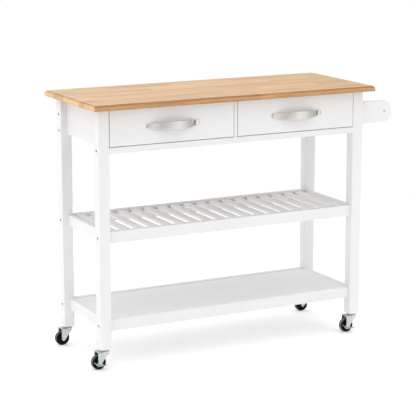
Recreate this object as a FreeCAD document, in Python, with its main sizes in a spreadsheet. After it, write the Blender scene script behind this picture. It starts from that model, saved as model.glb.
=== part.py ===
# Kitchen island cart: a solid worktop on a painted four-legged frame with two
# drawers, a slatted shelf, a closed shelf, a towel rail and four swivel casters.
# Millimetres. X runs along the worktop, Y from front to back, Z up. The origin
# is on the floor, in the middle of the whole cart's box.

import FreeCAD, Part
import os
import re
import Sketcher
from FreeCAD import Rotation, Vector

doc = FreeCAD.newDocument("KitchenIslandCart")
sheet = doc.addObject("Spreadsheet::Sheet", "Sizes")

SIZES = [
    # frame
    ("cart_height", 885, "floor to the top of the worktop"),
    ("frame_length", 1000, "over the legs' outer side faces"),
    ("frame_depth", 352, "over the legs' front and back faces"),
    ("leg_size", 38, "side of the square legs"),
    ("arris", 1.2, "rounding of the long edges of painted boards"),
    ("long_board", 20, "thickness of the long rails and the back apron"),
    ("side_board", 16, "thickness of the side rails and side aprons"),
    ("apron_height", 126, "height of the aprons under the worktop"),
    ("drawer_rail_height", 20, "height of the rail under the drawers"),
    ("shelf_rail_height", 39, "height of the rails round both shelves"),
    ("upper_shelf_top", 462, "floor to the top of the slatted shelf's rails"),
    ("lower_shelf_top", 166, "floor to the top of the closed shelf's rails"),
    ("divider_thickness", 12, "board between the two drawers"),
    # worktop
    ("top_thickness", 18, "worktop board"),
    ("top_overhang_side", 29, "worktop past the legs' side faces"),
    ("top_overhang_front", 36, "worktop past the legs' front and back faces"),
    ("top_shoulder", 1.2, "small step above the rounded edge"),
    ("top_round", 8.5, "radius of the worktop's moulded edge"),
    ("top_corner", 4, "radius of the worktop's upright corners"),
    # shelves
    ("slat_width", 28, "slat across the shelf"),
    ("slat_pitch", 51, "from one slat to the next"),
    ("slat_thickness", 9, "slat"),
    ("slat_drop", 3, "slat tops below the rails' tops"),
    ("panel_thickness", 9, "lower shelf board"),
    ("panel_drop", 3, "lower shelf board below the rails' tops"),
    ("cleat_size", 14, "square strips that carry slats and board"),
    # drawers
    ("front_thickness", 18, "drawer front"),
    ("front_gap", 2, "gap round each drawer front"),
    ("box_gap", 3, "drawer side to the bay's wall"),
    ("box_wall", 12, "drawer sides and back"),
    ("box_headroom", 33, "drawer sides' tops below the worktop"),
    ("box_lift", 5, "drawer sides above the drawer rail"),
    ("box_back_room", 8, "drawer back to the back apron"),
    ("box_floor", 4, "drawer bottom"),
    ("box_floor_lift", 8, "drawer bottom above the sides' lower edge"),
    ("box_groove", 5, "depth of the grooves that hold the drawer bottom"),
    ("runner_height", 10, "hardwood strip that the drawer slides on"),
    ("runner_reach", 9, "strip out of the bay's wall"),
    ("runner_play", 0.4, "strip to groove, all round"),
    ("runner_setback", 26, "strip's front end behind the legs' front faces"),
    # handles
    ("handle_length", 196, "over both feet"),
    ("handle_foot", 16, "length of each foot"),
    ("handle_foot_depth", 5, "foot out of the drawer front"),
    ("handle_rise", 28, "strap out of the drawer front"),
    ("handle_strap", 2.5, "thickness of the strap"),
    ("handle_middle", 29, "height of the strap at its middle"),
    ("handle_end", 18, "height of the strap at its ends"),
    ("handle_thread", 3.5, "handle screw inside the handle's foot"),
    ("handle_drop", 3, "handle below the middle of the drawer front"),
    # towel rail
    ("towel_reach", 125, "brackets past the legs' side faces"),
    ("towel_board", 16, "thickness of the brackets"),
    ("towel_height", 76, "height of the brackets"),
    ("towel_drop", 43, "brackets below the underside of the worktop"),
    ("towel_corner", 30, "radius of the brackets' outer corners"),
    ("towel_screw_bite", 24, "bracket screw past the leg"),
    ("towel_screw_step", 19, "between the two screws of each bracket"),
    ("rod_diameter", 20, "towel rod"),
    ("rod_screw_bite", 16, "screw inside the towel rod"),
    ("rod_inset", 28, "rod's axis in from the brackets' outer ends"),
    # casters
    ("wheel_diameter", 50, "caster wheel"),
    ("wheel_headroom", 9, "top of the wheel to the fork's round top"),
    ("wheel_width", 18, "caster wheel"),
    ("wheel_round", 3.5, "rounding of the tread's shoulders"),
    ("wheel_dish", 3, "depth of the ring sunk in each side of the wheel"),
    ("wheel_rim", 6, "height of the rim outside the sunk ring"),
    ("wheel_hub", 8, "radius of the hub inside the sunk ring"),
    ("wheel_trail", 22, "axle behind the swivel's axis"),
    ("wheel_gap", 1.5, "wheel to each fork cheek"),
    ("fork_plate", 1.8, "pressed steel of the fork"),
    ("fork_eye", 7, "radius of the cheek round the axle"),
    ("fork_crown", 17, "radius of the fork's round top"),
    ("fork_crown_height", 5, "height of the fork's round top"),
    ("fork_shoulder", 8.5, "cheek's upper corner ahead of the swivel's axis"),
    ("fork_cheek_drop", 13.6, "cheek below the round top at the swivel's axis"),
    ("race_height", 3, "ring fixed to the stem above the fork"),
    ("race_play", 0.4, "ring to fork"),
    ("collar_height", 0.6, "washer between the ring and the leg"),
    ("collar_radius", 12, "washer between the ring and the leg"),
    ("stem_diameter", 8, "threaded stem"),
    ("stem_length", 26, "stem inside the leg"),
    ("kingpin_diameter", 9, "pin that the fork swivels on"),
    ("kingpin_head", 7, "radius of the riveted head under the fork"),
    ("insert_diameter", 12, "threaded insert in the leg"),
    ("axle_diameter", 6, "wheel axle"),
    ("axle_head", 4.4, "radius of the axle's heads"),
    ("axle_head_height", 3, "axle's heads"),
    ("shaft_play", 0.05, "radial play of pins in their bores"),
    ("brake_plate", 1.6, "pressed steel of the brake rocker"),
    ("brake_eye", 7.5, "radius of the rocker's eye"),
    ("brake_pad", 9, "width of the rocker's foot pads"),
    ("brake_reach", 24, "level end of the rocker's strip ahead of the axle"),
    ("brake_back", 21.6, "raised end of the rocker's strip behind the axle"),
    ("brake_rise", 3.4, "raised end of the rocker's strip above the axle"),
    ("brake_bend", 10.2, "bend of the rocker's strip behind the axle"),
    ("brake_drop", 10, "level part of the rocker's strip below the axle"),
    ("brake_web_top", 6.75, "upper front corner of the rocker's web ahead of the axle"),
    ("brake_web_foot", 15, "lower front corner of the rocker's web ahead of the axle"),
    ("brake_web_drop", 2.25, "web's upper edge below the axle"),
    # fasteners
    ("bolt_diameter", 6, "frame bolt"),
    ("bolt_length", 66, "frame bolt under its head"),
    ("bolt_head", 10, "diameter of the bolt's head"),
    ("bolt_head_height", 6, "bolt's head"),
    ("bolt_sink", 7, "depth of the head's counterbore"),
    ("bolt_socket", 5, "hexagon socket in the bolt's head, over its flats"),
    ("nut_diameter", 10, "barrel nut"),
    ("nut_length", 14, "barrel nut"),
    ("fastener_play", 0.2, "radial play of bolts and nuts in their holes"),
    ("dowel_diameter", 8, "glued dowel"),
    ("dowel_length", 30, "glued dowel"),
    ("screw_diameter", 4, "wood and machine screws"),
    ("screw_head", 8, "diameter of the screws' heads"),
    ("screw_head_height", 2.5, "screws' heads"),
    ("bracket_leg", 22, "worktop bracket along the apron and the worktop"),
    ("bracket_width", 18, "worktop bracket"),
    ("bracket_screw_out", 13, "upright bracket screw off the apron"),
    ("bracket_screw_down", 14.5, "level bracket screw below the worktop"),
    ("bracket_plate", 2, "worktop bracket"),
]

for row, (alias, value, meaning) in enumerate(SIZES, start=1):
    sheet.set(f"A{row}", meaning)
    sheet.set(f"B{row}", str(value))
    sheet.setAlias(f"B{row}", alias)
doc.recompute()

ALIAS = re.compile(r"\b(" + "|".join(alias for alias, _, _ in SIZES) + r")\b")

# Planes and heights that pieces share, as formulas on the sheet.
MIDDLE = "((top_overhang_side - towel_reach) / 2)"
LEFT = f"({MIDDLE} - frame_length / 2)"
RIGHT = f"({MIDDLE} + frame_length / 2)"
FRONT = "(-frame_depth / 2)"
BACK = "(frame_depth / 2)"
INNER_LEFT = f"({LEFT} + leg_size)"
INNER_RIGHT = f"({RIGHT} - leg_size)"
INNER_FRONT = f"({FRONT} + leg_size)"
INNER_BACK = f"({BACK} - leg_size)"
CROWN_FLOOR = "(wheel_diameter + wheel_headroom)"
CROWN_TOP = f"({CROWN_FLOOR} + fork_crown_height)"
CASTER_HEIGHT = f"({CROWN_TOP} + race_play + race_height + collar_height)"
LEG_TOP = "(cart_height - top_thickness)"
BAY_FLOOR = f"({LEG_TOP} - apron_height)"
LEG_X = {"left": f"({LEFT} + leg_size / 2)", "right": f"({RIGHT} - leg_size / 2)"}
LEG_Y = {"front": f"({FRONT} + leg_size / 2)", "back": f"({BACK} - leg_size / 2)"}
CORNERS = [(row, side) for row in ("front", "back") for side in ("left", "right")]
SHELF_TOPS = {"upper": "upper_shelf_top", "lower": "lower_shelf_top"}
INWARD = {"left": "+X", "right": "-X", "front": "+Y", "back": "-Y"}

TURNS = {
    "+X": Rotation(Vector(0, 1, 0), 90),
    "-X": Rotation(Vector(0, 1, 0), -90),
    "+Y": Rotation(Vector(1, 0, 0), -90),
    "-Y": Rotation(Vector(1, 0, 0), 90),
    "+Z": Rotation(),
    "-Z": Rotation(Vector(1, 0, 0), 180),
}

nodes = []


def bind(piece, prop, formula):
    piece.setExpression(prop, ALIAS.sub(r"Sizes.\1", str(formula)))


def value_of(formula):
    return float(sheet.evalExpression(ALIAS.sub(r"Sizes.\1", str(formula))))


def place(piece, point):
    for axis, formula in zip("xyz", point):
        bind(piece, f"Placement.Base.{axis}", formula)


def finish(piece, label):
    """Names a sub-part and lists it for export."""
    piece.Label = label
    nodes.append(piece)
    return piece


def along(point, way, distance):
    """The point moved by a distance along a signed axis such as +X."""
    moved = list(point)
    index = "XYZ".index(way[1])
    moved[index] = f"({point[index]} {way[0]} ({distance}))"
    return tuple(moved)


def box(low, high):
    piece = doc.addObject("Part::Box", "Box")
    for prop, start, end in zip(("Length", "Width", "Height"), low, high):
        bind(piece, prop, f"({end}) - ({start})")
    place(piece, low)
    return piece


def rod(start, way, radius, length):
    """A cylinder from its start point along a signed axis."""
    piece = doc.addObject("Part::Cylinder", "Rod")
    bind(piece, "Radius", radius)
    bind(piece, "Height", length)
    piece.Placement.Rotation = TURNS[way]
    place(piece, start)
    return piece


def fuse(pieces):
    whole = doc.addObject("Part::MultiFuse", "Fusion")
    whole.Shapes = pieces
    return whole


def common(pieces):
    shared = doc.addObject("Part::MultiCommon", "Common")
    shared.Shapes = pieces
    return shared


def group(pieces):
    """Separate solids that make one node."""
    whole = doc.addObject("Part::Compound", "Group")
    whole.Links = pieces
    return whole


def cut(piece, tools):
    result = doc.addObject("Part::Cut", "Cut")
    result.Base = piece
    result.Tool = tools[0] if len(tools) == 1 else group(tools)
    return result


def new_body(point):
    body = doc.addObject("PartDesign::Body", "Body")
    place(body, point)
    return body


def new_sketch(body, plane, offset="0"):
    drawing = body.newObject("Sketcher::SketchObject", "Sketch")
    planes = [item for item in body.Origin.OriginFeatures if item.Role == plane]
    drawing.AttachmentSupport = [(planes[0], "")]
    drawing.MapMode = "FlatFace"
    bind(drawing, "AttachmentOffset.Base.z", offset)
    return drawing


def draw_outline(drawing, corners):
    """A closed outline of straight lines, each corner held from the sketch's origin."""
    points = [Vector(value_of(x), value_of(y), 0) for x, y in corners]
    count = len(points)
    for index in range(count):
        following = points[(index + 1) % count]
        drawing.addGeometry(Part.LineSegment(points[index], following), False)
    for index in range(count):
        drawing.addConstraint(
            Sketcher.Constraint("Coincident", index, 2, (index + 1) % count, 1)
        )
    for index, corner in enumerate(corners):
        for kind, start, formula in zip(("DistanceX", "DistanceY"), points[index], corner):
            number = drawing.addConstraint(
                Sketcher.Constraint(kind, -1, 1, index, 1, start)
            )
            bind(drawing, f"Constraints[{number}]", formula)


def draw_circle(drawing, centre, radius):
    middle = Vector(value_of(centre[0]), value_of(centre[1]), 0)
    edge = drawing.addGeometry(
        Part.Circle(middle, Vector(0, 0, 1), value_of(radius)), False
    )
    for kind, start, formula in zip(("DistanceX", "DistanceY"), middle, centre):
        number = drawing.addConstraint(Sketcher.Constraint(kind, -1, 1, edge, 3, start))
        bind(drawing, f"Constraints[{number}]", formula)
    number = drawing.addConstraint(Sketcher.Constraint("Radius", edge, value_of(radius)))
    bind(drawing, f"Constraints[{number}]", radius)


def pad(body, drawing, length, reverse=False):
    feature = body.newObject("PartDesign::Pad", "Pad")
    feature.Profile = drawing
    bind(feature, "Length", length)
    feature.Reversed = reverse
    return feature


def pocket(body, drawing, length, reverse=False):
    feature = body.newObject("PartDesign::Pocket", "Pocket")
    feature.Profile = drawing
    bind(feature, "Length", length)
    feature.Reversed = reverse
    return feature


def edges_along(shape, axis):
    """Names of the straight edges that run along X, Y or Z."""
    way = {"X": Vector(1, 0, 0), "Y": Vector(0, 1, 0), "Z": Vector(0, 0, 1)}[axis]
    names = []
    for number, edge in enumerate(shape.Edges, start=1):
        straight = isinstance(edge.Curve, Part.Line)
        if straight and abs(edge.Curve.Direction.dot(way)) > 0.999:
            names.append(f"Edge{number}")
    return names


def round_edges(body, feature, names, radius):
    rounding = body.newObject("PartDesign::Fillet", "Fillet")
    rounding.Base = (feature, names)
    bind(rounding, "Radius", radius)
    return rounding


def board(low, high, grain, radius="arris"):
    """A planed board between two corners, its edges along the grain rounded."""
    length, width, height = (f"(({end}) - ({start}))" for start, end in zip(low, high))
    body = new_body(low)
    drawing = new_sketch(body, "XY_Plane")
    draw_outline(drawing, [("0", "0"), (length, "0"), (length, width), ("0", width)])
    blank = pad(body, drawing, height)
    doc.recompute()
    round_edges(body, blank, edges_along(blank.Shape, grain), radius)
    return body


def rail_holes(point, way):
    """Bolt hole through a leg and into a rail's end, with the head's counterbore."""
    play = "fastener_play"
    return [
        rod(point, way, f"bolt_diameter / 2 + {play}", f"bolt_sink + bolt_length + {play}"),
        rod(point, way, f"bolt_head / 2 + {play}", "bolt_sink"),
    ]


def bolt(point, way):
    """A socket-head frame bolt, its head at the bottom of the counterbore."""
    seat = along(point, way, "bolt_sink")
    top = along(point, way, "bolt_sink - bolt_head_height")
    shank = rod(seat, way, "bolt_diameter / 2", "bolt_length")
    head = rod(top, way, "bolt_head / 2", "bolt_head_height")
    socket = doc.addObject("Part::Prism", "Socket")
    socket.Polygon = 6
    bind(socket, "Circumradius", "bolt_socket / 2 / cos(30)")
    bind(socket, "Height", "bolt_head_height / 2")
    socket.Placement.Rotation = TURNS[way]
    place(socket, top)
    return cut(fuse([shank, head]), [socket])


def screw(point, way, length, diameter="screw_diameter"):
    """A plain-shanked screw with its head on the surface at the point."""
    shank = rod(point, way, f"{diameter} / 2", length)
    head_start = along(point, way, "-screw_head_height")
    head = rod(head_start, way, "screw_head / 2", "screw_head_height")
    return fuse([shank, head])


def countersunk(point, way, length):
    """A screw whose head lies flush in the surface at the point."""
    shank = rod(point, way, "screw_diameter / 2", length)
    head = rod(point, way, "screw_head / 2", "screw_head_height")
    return fuse([shank, head])


def countersunk_holes(point, way, length):
    return [
        rod(point, way, "screw_diameter / 2 + shaft_play", f"{length} + shaft_play"),
        rod(point, way, "screw_head / 2 + shaft_play", "screw_head_height + shaft_play"),
    ]


# Places of the frame's bolts: at each leg, through its outer side face, one bolt
# for each long rail that meets it, and two for the taller back apron.
RAIL_HEIGHTS = {
    "upper": "(upper_shelf_top - shelf_rail_height / 2)",
    "lower": "(lower_shelf_top - shelf_rail_height / 2)",
    "drawer": f"({BAY_FLOOR} - drawer_rail_height / 2)",
    "apron_low": f"({BAY_FLOOR} + nut_diameter + bolt_diameter / 2)",
    "apron_high": f"({BAY_FLOOR} + apron_height / 2 + nut_diameter / 2)",
}
ROW_BOLTS = {
    "front": ("lower", "upper", "drawer"),
    "back": ("lower", "upper", "apron_low", "apron_high"),
}
SIDE_FACE = {"left": LEFT, "right": RIGHT}
INNER_FACE = {"left": INNER_LEFT, "right": INNER_RIGHT}
ROW_INNER_FACE = {"front": INNER_FRONT, "back": INNER_BACK}


def bolt_point(row, side, name):
    return (SIDE_FACE[side], LEG_Y[row], RAIL_HEIGHTS[name])


def nut_axis(row, side, name):
    """Where a barrel nut's bore starts, and the way it runs into the rail."""
    reach = "bolt_sink + bolt_length - nut_diameter"
    centre = along(bolt_point(row, side, name), INWARD[side], reach)
    if name == "drawer":
        return (centre[0], centre[1], f"({BAY_FLOOR} - drawer_rail_height)"), "+Z"
    inner = f"({LEG_Y[row]} {INWARD[row][0]} long_board / 2)"
    outward = "-Y" if row == "front" else "+Y"
    return (centre[0], inner, centre[2]), outward


def long_rail_holes(row, names):
    tools = []
    for side in ("left", "right"):
        for name in names:
            tools += rail_holes(bolt_point(row, side, name), INWARD[side])
            start, way = nut_axis(row, side, name)
            bore = "nut_diameter / 2 + fastener_play"
            tools.append(rod(start, way, bore, "(long_board + nut_length) / 2"))
    return tools


# Places of the dowels that join each side rail and side apron to its two legs.
DOWEL_X = {
    "left": f"({INNER_LEFT} - side_board / 2)",
    "right": f"({INNER_RIGHT} + side_board / 2)",
}
RAIL_DOWEL_STEP = "(shelf_rail_height / 2 - dowel_diameter)"
APRON_DOWEL_STEP = "(apron_height / 3)"
DOWEL_HEIGHTS = {
    "upper": [
        f"({RAIL_HEIGHTS['upper']} - {RAIL_DOWEL_STEP})",
        f"({RAIL_HEIGHTS['upper']} + {RAIL_DOWEL_STEP})",
    ],
    "lower": [
        f"({RAIL_HEIGHTS['lower']} - {RAIL_DOWEL_STEP})",
        f"({RAIL_HEIGHTS['lower']} + {RAIL_DOWEL_STEP})",
    ],
    "apron": [
        f"({LEG_TOP} - apron_height / 2 - {APRON_DOWEL_STEP})",
        f"({LEG_TOP} - apron_height / 2)",
        f"({LEG_TOP} - apron_height / 2 + {APRON_DOWEL_STEP})",
    ],
}


def dowel_start(row, side, height):
    point = (DOWEL_X[side], ROW_INNER_FACE[row], height)
    return along(point, INWARD[row], "-dowel_length / 2")


def dowel_holes(side, rows, names):
    """Blind holes for half of each dowel, in legs or in the boards between them."""
    tools = []
    for row in rows:
        for name in names:
            for height in DOWEL_HEIGHTS[name]:
                start = along(dowel_start(row, side, height), INWARD[row], "-fastener_play")
                radius = "dowel_diameter / 2 + shaft_play"
                tools.append(rod(start, INWARD[row], radius, "dowel_length + 2 * fastener_play"))
    return tools


# Towel rail: each bracket is held by two screws from the leg's inner face, which
# pass between the back apron's two bolts.
TOWEL_TOP = f"({LEG_TOP} - towel_drop)"
TOWEL_FLOOR = f"({TOWEL_TOP} - towel_height)"
TOWEL_END = f"({RIGHT} + towel_reach)"
TOWEL_MIDDLE = f"({TOWEL_TOP} - towel_height / 2)"
BETWEEN_BOLTS = f"(({RAIL_HEIGHTS['apron_low']} + {RAIL_HEIGHTS['apron_high']}) / 2)"
TOWEL_SCREWS = [f"({BETWEEN_BOLTS} {sign} towel_screw_step / 2)" for sign in "+-"]
TOWEL_SCREW_LENGTH = "(leg_size + towel_screw_bite)"


# Worktop brackets: two steel angles inside each side apron, each with one screw
# up into the worktop and one outwards into the apron.
BRACKET_PLACES = [(side, f"({sign} frame_depth / 4)") for side in ("left", "right") for sign in "-+"]
OUTWARD = {"left": "-X", "right": "+X"}
SCREW_BITE = 0.6  # share of a board's thickness that a bracket screw takes
UP_SCREW_LENGTH = f"(top_thickness * {SCREW_BITE})"
OUT_SCREW_LENGTH = f"(side_board * {SCREW_BITE})"


def bracket_screws(side, y):
    corner = (INNER_FACE[side], y, LEG_TOP)
    way = INWARD[side]
    up = along(along(corner, way, "bracket_screw_out"), "+Z", "-bracket_plate")
    out = along(along(corner, way, "bracket_plate"), "+Z", "-bracket_screw_down")
    return [(up, "+Z", UP_SCREW_LENGTH), (out, OUTWARD[side], OUT_SCREW_LENGTH)]


def bracket_screw_holes(places):
    return [
        rod(point, way, "screw_diameter / 2 + shaft_play", f"{length} + shaft_play")
        for side, y in places
        for point, way, length in bracket_screws(side, y)
    ]


def build_worktop():
    """Edge-glued board with a stepped round along its top edges."""
    length = "(frame_length + 2 * top_overhang_side)"
    depth = "(frame_depth + 2 * top_overhang_front)"
    body = new_body((f"{LEFT} - top_overhang_side", f"{FRONT} - top_overhang_front", LEG_TOP))
    lower = new_sketch(body, "XY_Plane")
    draw_outline(lower, [("0", "0"), (length, "0"), (length, depth), ("0", depth)])
    slab = pad(body, lower, "top_thickness - top_shoulder")
    doc.recompute()
    corners = round_edges(body, slab, edges_along(slab.Shape, "Z"), "top_corner")
    doc.recompute()
    rim = [
        f"Edge{number}"
        for number, edge in enumerate(corners.Shape.Edges, start=1)
        if edge.BoundBox.ZMin > value_of("top_thickness - top_shoulder") - 0.01
    ]
    round_edges(body, corners, rim, "top_round")
    upper = new_sketch(body, "XY_Plane", "top_thickness - top_shoulder - arris")
    inset = "top_round"
    far_x, far_y = f"({length} - {inset})", f"({depth} - {inset})"
    draw_outline(upper, [(inset, inset), (far_x, inset), (far_x, far_y), (inset, far_y)])
    pad(body, upper, "top_shoulder + arris")
    finish(cut(body, bracket_screw_holes(BRACKET_PLACES)), "worktop")


def build_legs():
    for row, side in CORNERS:
        x, y = LEG_X[side], LEG_Y[row]
        low = (f"{x} - leg_size / 2", f"{y} - leg_size / 2", CASTER_HEIGHT)
        high = (f"{x} + leg_size / 2", f"{y} + leg_size / 2", LEG_TOP)
        tools = []
        for name in ROW_BOLTS[row]:
            tools += rail_holes(bolt_point(row, side, name), INWARD[side])
        tools += dowel_holes(side, [row], ["lower", "upper", "apron"])
        tools.append(rod((x, y, CASTER_HEIGHT), "+Z", "insert_diameter / 2", "stem_length + arris"))
        if side == "right":
            for height in TOWEL_SCREWS:
                tools += countersunk_holes((INNER_RIGHT, y, height), "+X", TOWEL_SCREW_LENGTH)
        finish(cut(board(low, high, "Z"), tools), f"leg_{row}_{side}")


def build_aprons():
    for side in ("left", "right"):
        centre = DOWEL_X[side]
        low = (f"{centre} - side_board / 2", INNER_FRONT, BAY_FLOOR)
        high = (f"{centre} + side_board / 2", INNER_BACK, LEG_TOP)
        holes = dowel_holes(side, ["front", "back"], ["apron"])
        holes += bracket_screw_holes([spot for spot in BRACKET_PLACES if spot[0] == side])
        finish(cut(board(low, high, "Y"), holes), f"side_apron_{side}")
    low = (INNER_LEFT, f"{LEG_Y['back']} - long_board / 2", BAY_FLOOR)
    high = (INNER_RIGHT, f"{LEG_Y['back']} + long_board / 2", LEG_TOP)
    holes = long_rail_holes("back", ["apron_low", "apron_high"])
    finish(cut(board(low, high, "X"), holes), "back_apron")


def build_drawer_bay():
    """Rail under the drawers, flush with the legs, and the board between the drawers."""
    low = (INNER_LEFT, FRONT, f"{BAY_FLOOR} - drawer_rail_height")
    high = (INNER_RIGHT, INNER_FRONT, BAY_FLOOR)
    finish(cut(board(low, high, "X"), long_rail_holes("front", ["drawer"])), "drawer_rail")
    low = (f"{MIDDLE} - divider_thickness / 2", FRONT, BAY_FLOOR)
    high = (f"{MIDDLE} + divider_thickness / 2", f"{LEG_Y['back']} - long_board / 2", LEG_TOP)
    finish(board(low, high, "Z"), "drawer_divider")


def build_shelf_rails():
    for name, top in SHELF_TOPS.items():
        floor = f"({top} - shelf_rail_height)"
        for row in ("front", "back"):
            low = (INNER_LEFT, f"{LEG_Y[row]} - long_board / 2", floor)
            high = (INNER_RIGHT, f"{LEG_Y[row]} + long_board / 2", top)
            holes = long_rail_holes(row, [name])
            finish(cut(board(low, high, "X"), holes), f"{name}_shelf_rail_{row}")
        for side in ("left", "right"):
            low = (f"{DOWEL_X[side]} - side_board / 2", INNER_FRONT, floor)
            high = (f"{DOWEL_X[side]} + side_board / 2", INNER_BACK, top)
            holes = dowel_holes(side, ["front", "back"], [name])
            finish(cut(board(low, high, "Y"), holes), f"{name}_shelf_rail_{side}")


SHELF_FRONT = f"({LEG_Y['front']} + long_board / 2)"
SHELF_BACK = f"({LEG_Y['back']} - long_board / 2)"


def build_shelves():
    """Slats and a closed board, carried on strips along the front and back rails."""
    room = value_of(f"{INNER_RIGHT} - {INNER_LEFT} - slat_width")
    gaps = int(room // value_of("slat_pitch"))
    first = f"({MIDDLE} - {gaps} / 2 * slat_pitch)"
    slat_top = "(upper_shelf_top - slat_drop)"
    slats = []
    for index in range(gaps + 1):
        centre = f"({first} + {index} * slat_pitch)"
        low = (f"{centre} - slat_width / 2", SHELF_FRONT, f"{slat_top} - slat_thickness")
        high = (f"{centre} + slat_width / 2", SHELF_BACK, slat_top)
        slats.append(board(low, high, "Y"))
    finish(group(slats), "shelf_slats")

    panel_top = "(lower_shelf_top - panel_drop)"
    low = (INNER_LEFT, SHELF_FRONT, f"{panel_top} - panel_thickness")
    high = (INNER_RIGHT, SHELF_BACK, panel_top)
    finish(box(low, high), "lower_shelf_panel")

    strips = []
    for top in (f"({slat_top} - slat_thickness)", f"({panel_top} - panel_thickness)"):
        for start, end in (
            (SHELF_FRONT, f"{SHELF_FRONT} + cleat_size"),
            (f"{SHELF_BACK} - cleat_size", SHELF_BACK),
        ):
            low = (INNER_LEFT, start, f"{top} - cleat_size")
            strips.append(box(low, (INNER_RIGHT, end, top)))
    finish(group(strips), "shelf_cleats")


BAYS = {
    "left": (INNER_LEFT, f"({MIDDLE} - divider_thickness / 2)"),
    "right": (f"({MIDDLE} + divider_thickness / 2)", INNER_RIGHT),
}
BOX_FLOOR = f"({BAY_FLOOR} + box_lift)"
BOX_HEIGHT = "(apron_height - box_lift - box_headroom)"
RUNNER_FLOOR = f"({BOX_FLOOR} + ({BOX_HEIGHT} - runner_height) / 2)"
FRONT_FLOOR = f"({BAY_FLOOR} + front_gap)"
FRONT_TOP = f"({LEG_TOP} - front_gap)"
FRONT_MIDDLE = f"(({FRONT_FLOOR} + {FRONT_TOP}) / 2)"
FRONT_INSIDE = f"({FRONT} + front_thickness)"
BOX_BACK = f"({SHELF_BACK} - box_back_room)"
HANDLE_HEIGHT = f"({FRONT_MIDDLE} - handle_drop)"


def build_runners():
    """Strips on both walls of each bay, which the drawers' grooved sides slide on."""
    strips = []
    for near, far in BAYS.values():
        for start, end in ((near, f"{near} + runner_reach"), (f"{far} - runner_reach", far)):
            low = (start, f"{FRONT} + runner_setback", RUNNER_FLOOR)
            high = (end, SHELF_BACK, f"{RUNNER_FLOOR} + runner_height")
            strips.append(box(low, high))
    finish(group(strips), "drawer_runners")


def handle_screw_points(middle):
    reach = "(handle_length - handle_foot) / 2"
    return [(f"({middle} {sign} {reach})", FRONT_INSIDE, HANDLE_HEIGHT) for sign in "-+"]


def build_drawer(side):
    near, far = BAYS[side]
    middle = f"(({near} + {far}) / 2)"
    screws = handle_screw_points(middle)
    screw_length = "(front_thickness + handle_thread)"
    screw_holes = [
        rod(point, "-Y", "screw_diameter / 2 + shaft_play", f"{screw_length} + arris")
        for point in screws
    ]
    floor_low = f"({BOX_FLOOR} + box_floor_lift)"
    floor_high = f"({floor_low} + box_floor)"
    inner = {
        "left": f"({near} + box_gap + box_wall)",
        "right": f"({far} - box_gap - box_wall)",
    }
    panel_low = (
        f"{inner['left']} - box_groove",
        f"{FRONT_INSIDE} - box_groove",
        floor_low,
    )
    panel_high = (f"{inner['right']} + box_groove", BOX_BACK, floor_high)

    low = (f"{near} + front_gap", FRONT, FRONT_FLOOR)
    high = (f"{far} - front_gap", FRONT_INSIDE, FRONT_TOP)
    front = cut(board(low, high, "X"), [box(panel_low, panel_high)] + screw_holes)
    finish(front, f"drawer_{side}_front")

    walls = []
    for start, end, groove in (
        (f"{near} + box_gap", inner["left"], f"{near} + runner_reach + runner_play"),
        (inner["right"], f"{far} - box_gap", f"{far} - runner_reach - runner_play"),
    ):
        wall = box((start, FRONT_INSIDE, BOX_FLOOR), (end, BOX_BACK, f"{BOX_FLOOR} + {BOX_HEIGHT}"))
        outer = start if groove.startswith(near) else end
        first, last = (outer, groove) if outer == start else (groove, outer)
        slot = box(
            (first, f"{FRONT} + runner_setback - runner_play", f"{RUNNER_FLOOR} - runner_play"),
            (last, BOX_BACK, f"{RUNNER_FLOOR} + runner_height + runner_play"),
        )
        walls.append(cut(wall, [slot, box(panel_low, panel_high)]))
    finish(group(walls), f"drawer_{side}_sides")

    low = (inner["left"], f"{BOX_BACK} - box_wall", floor_high)
    high = (inner["right"], BOX_BACK, f"{BOX_FLOOR} + {BOX_HEIGHT}")
    finish(box(low, high), f"drawer_{side}_back")
    finish(box(panel_low, panel_high), f"drawer_{side}_bottom")

    build_handle(side, middle, screw_holes)
    finish(group([screw(point, "-Y", screw_length) for point in screws]), f"drawer_{side}_screws")


def build_handle(side, middle, screw_holes):
    """A bowed strap, tallest in its middle, between two flat feet."""
    half_span = "(handle_length / 2 - handle_foot)"
    bow = f"(({half_span}^2 + handle_rise^2) / (2 * handle_rise))"
    sag = "((handle_middle - handle_end) / 2)"
    edge = f"(({half_span}^2 + {sag}^2) / (2 * {sag}))"
    centre_y = f"({FRONT} - handle_rise + {bow})"
    low_z = f"({HANDLE_HEIGHT} - handle_middle / 2)"
    outer = rod((middle, centre_y, low_z), "+Z", bow, "handle_middle")
    inner = rod((middle, centre_y, low_z), "+Z", f"{bow} - handle_strap", "handle_middle")
    ring = cut(outer, [inner])
    near = (f"{middle} - {half_span} - arris", f"{FRONT} - handle_rise", low_z)
    far = (f"{middle} + {half_span} + arris", FRONT, f"{low_z} + handle_middle")
    discs = [
        rod(
            (middle, FRONT, f"{HANDLE_HEIGHT} {sign} ({edge} - handle_middle / 2)"),
            "-Y",
            edge,
            "handle_rise",
        )
        for sign in "+-"
    ]
    strap = common([ring, box(near, far)] + discs)
    feet = []
    for sign in "-+":
        start = f"({middle} {sign} {half_span})"
        end = f"({middle} {sign} (handle_length / 2 - handle_end / 2))"
        first, last = (end, start) if sign == "-" else (start, end)
        low = (first, f"{FRONT} - handle_foot_depth", f"{HANDLE_HEIGHT} - handle_end / 2")
        high = (last, FRONT, f"{HANDLE_HEIGHT} + handle_end / 2")
        feet.append(box(low, high))
        feet.append(rod((end, FRONT, HANDLE_HEIGHT), "-Y", "handle_end / 2", "handle_foot_depth"))
    finish(cut(fuse([strap] + feet), screw_holes), f"drawer_{side}_handle")


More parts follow.
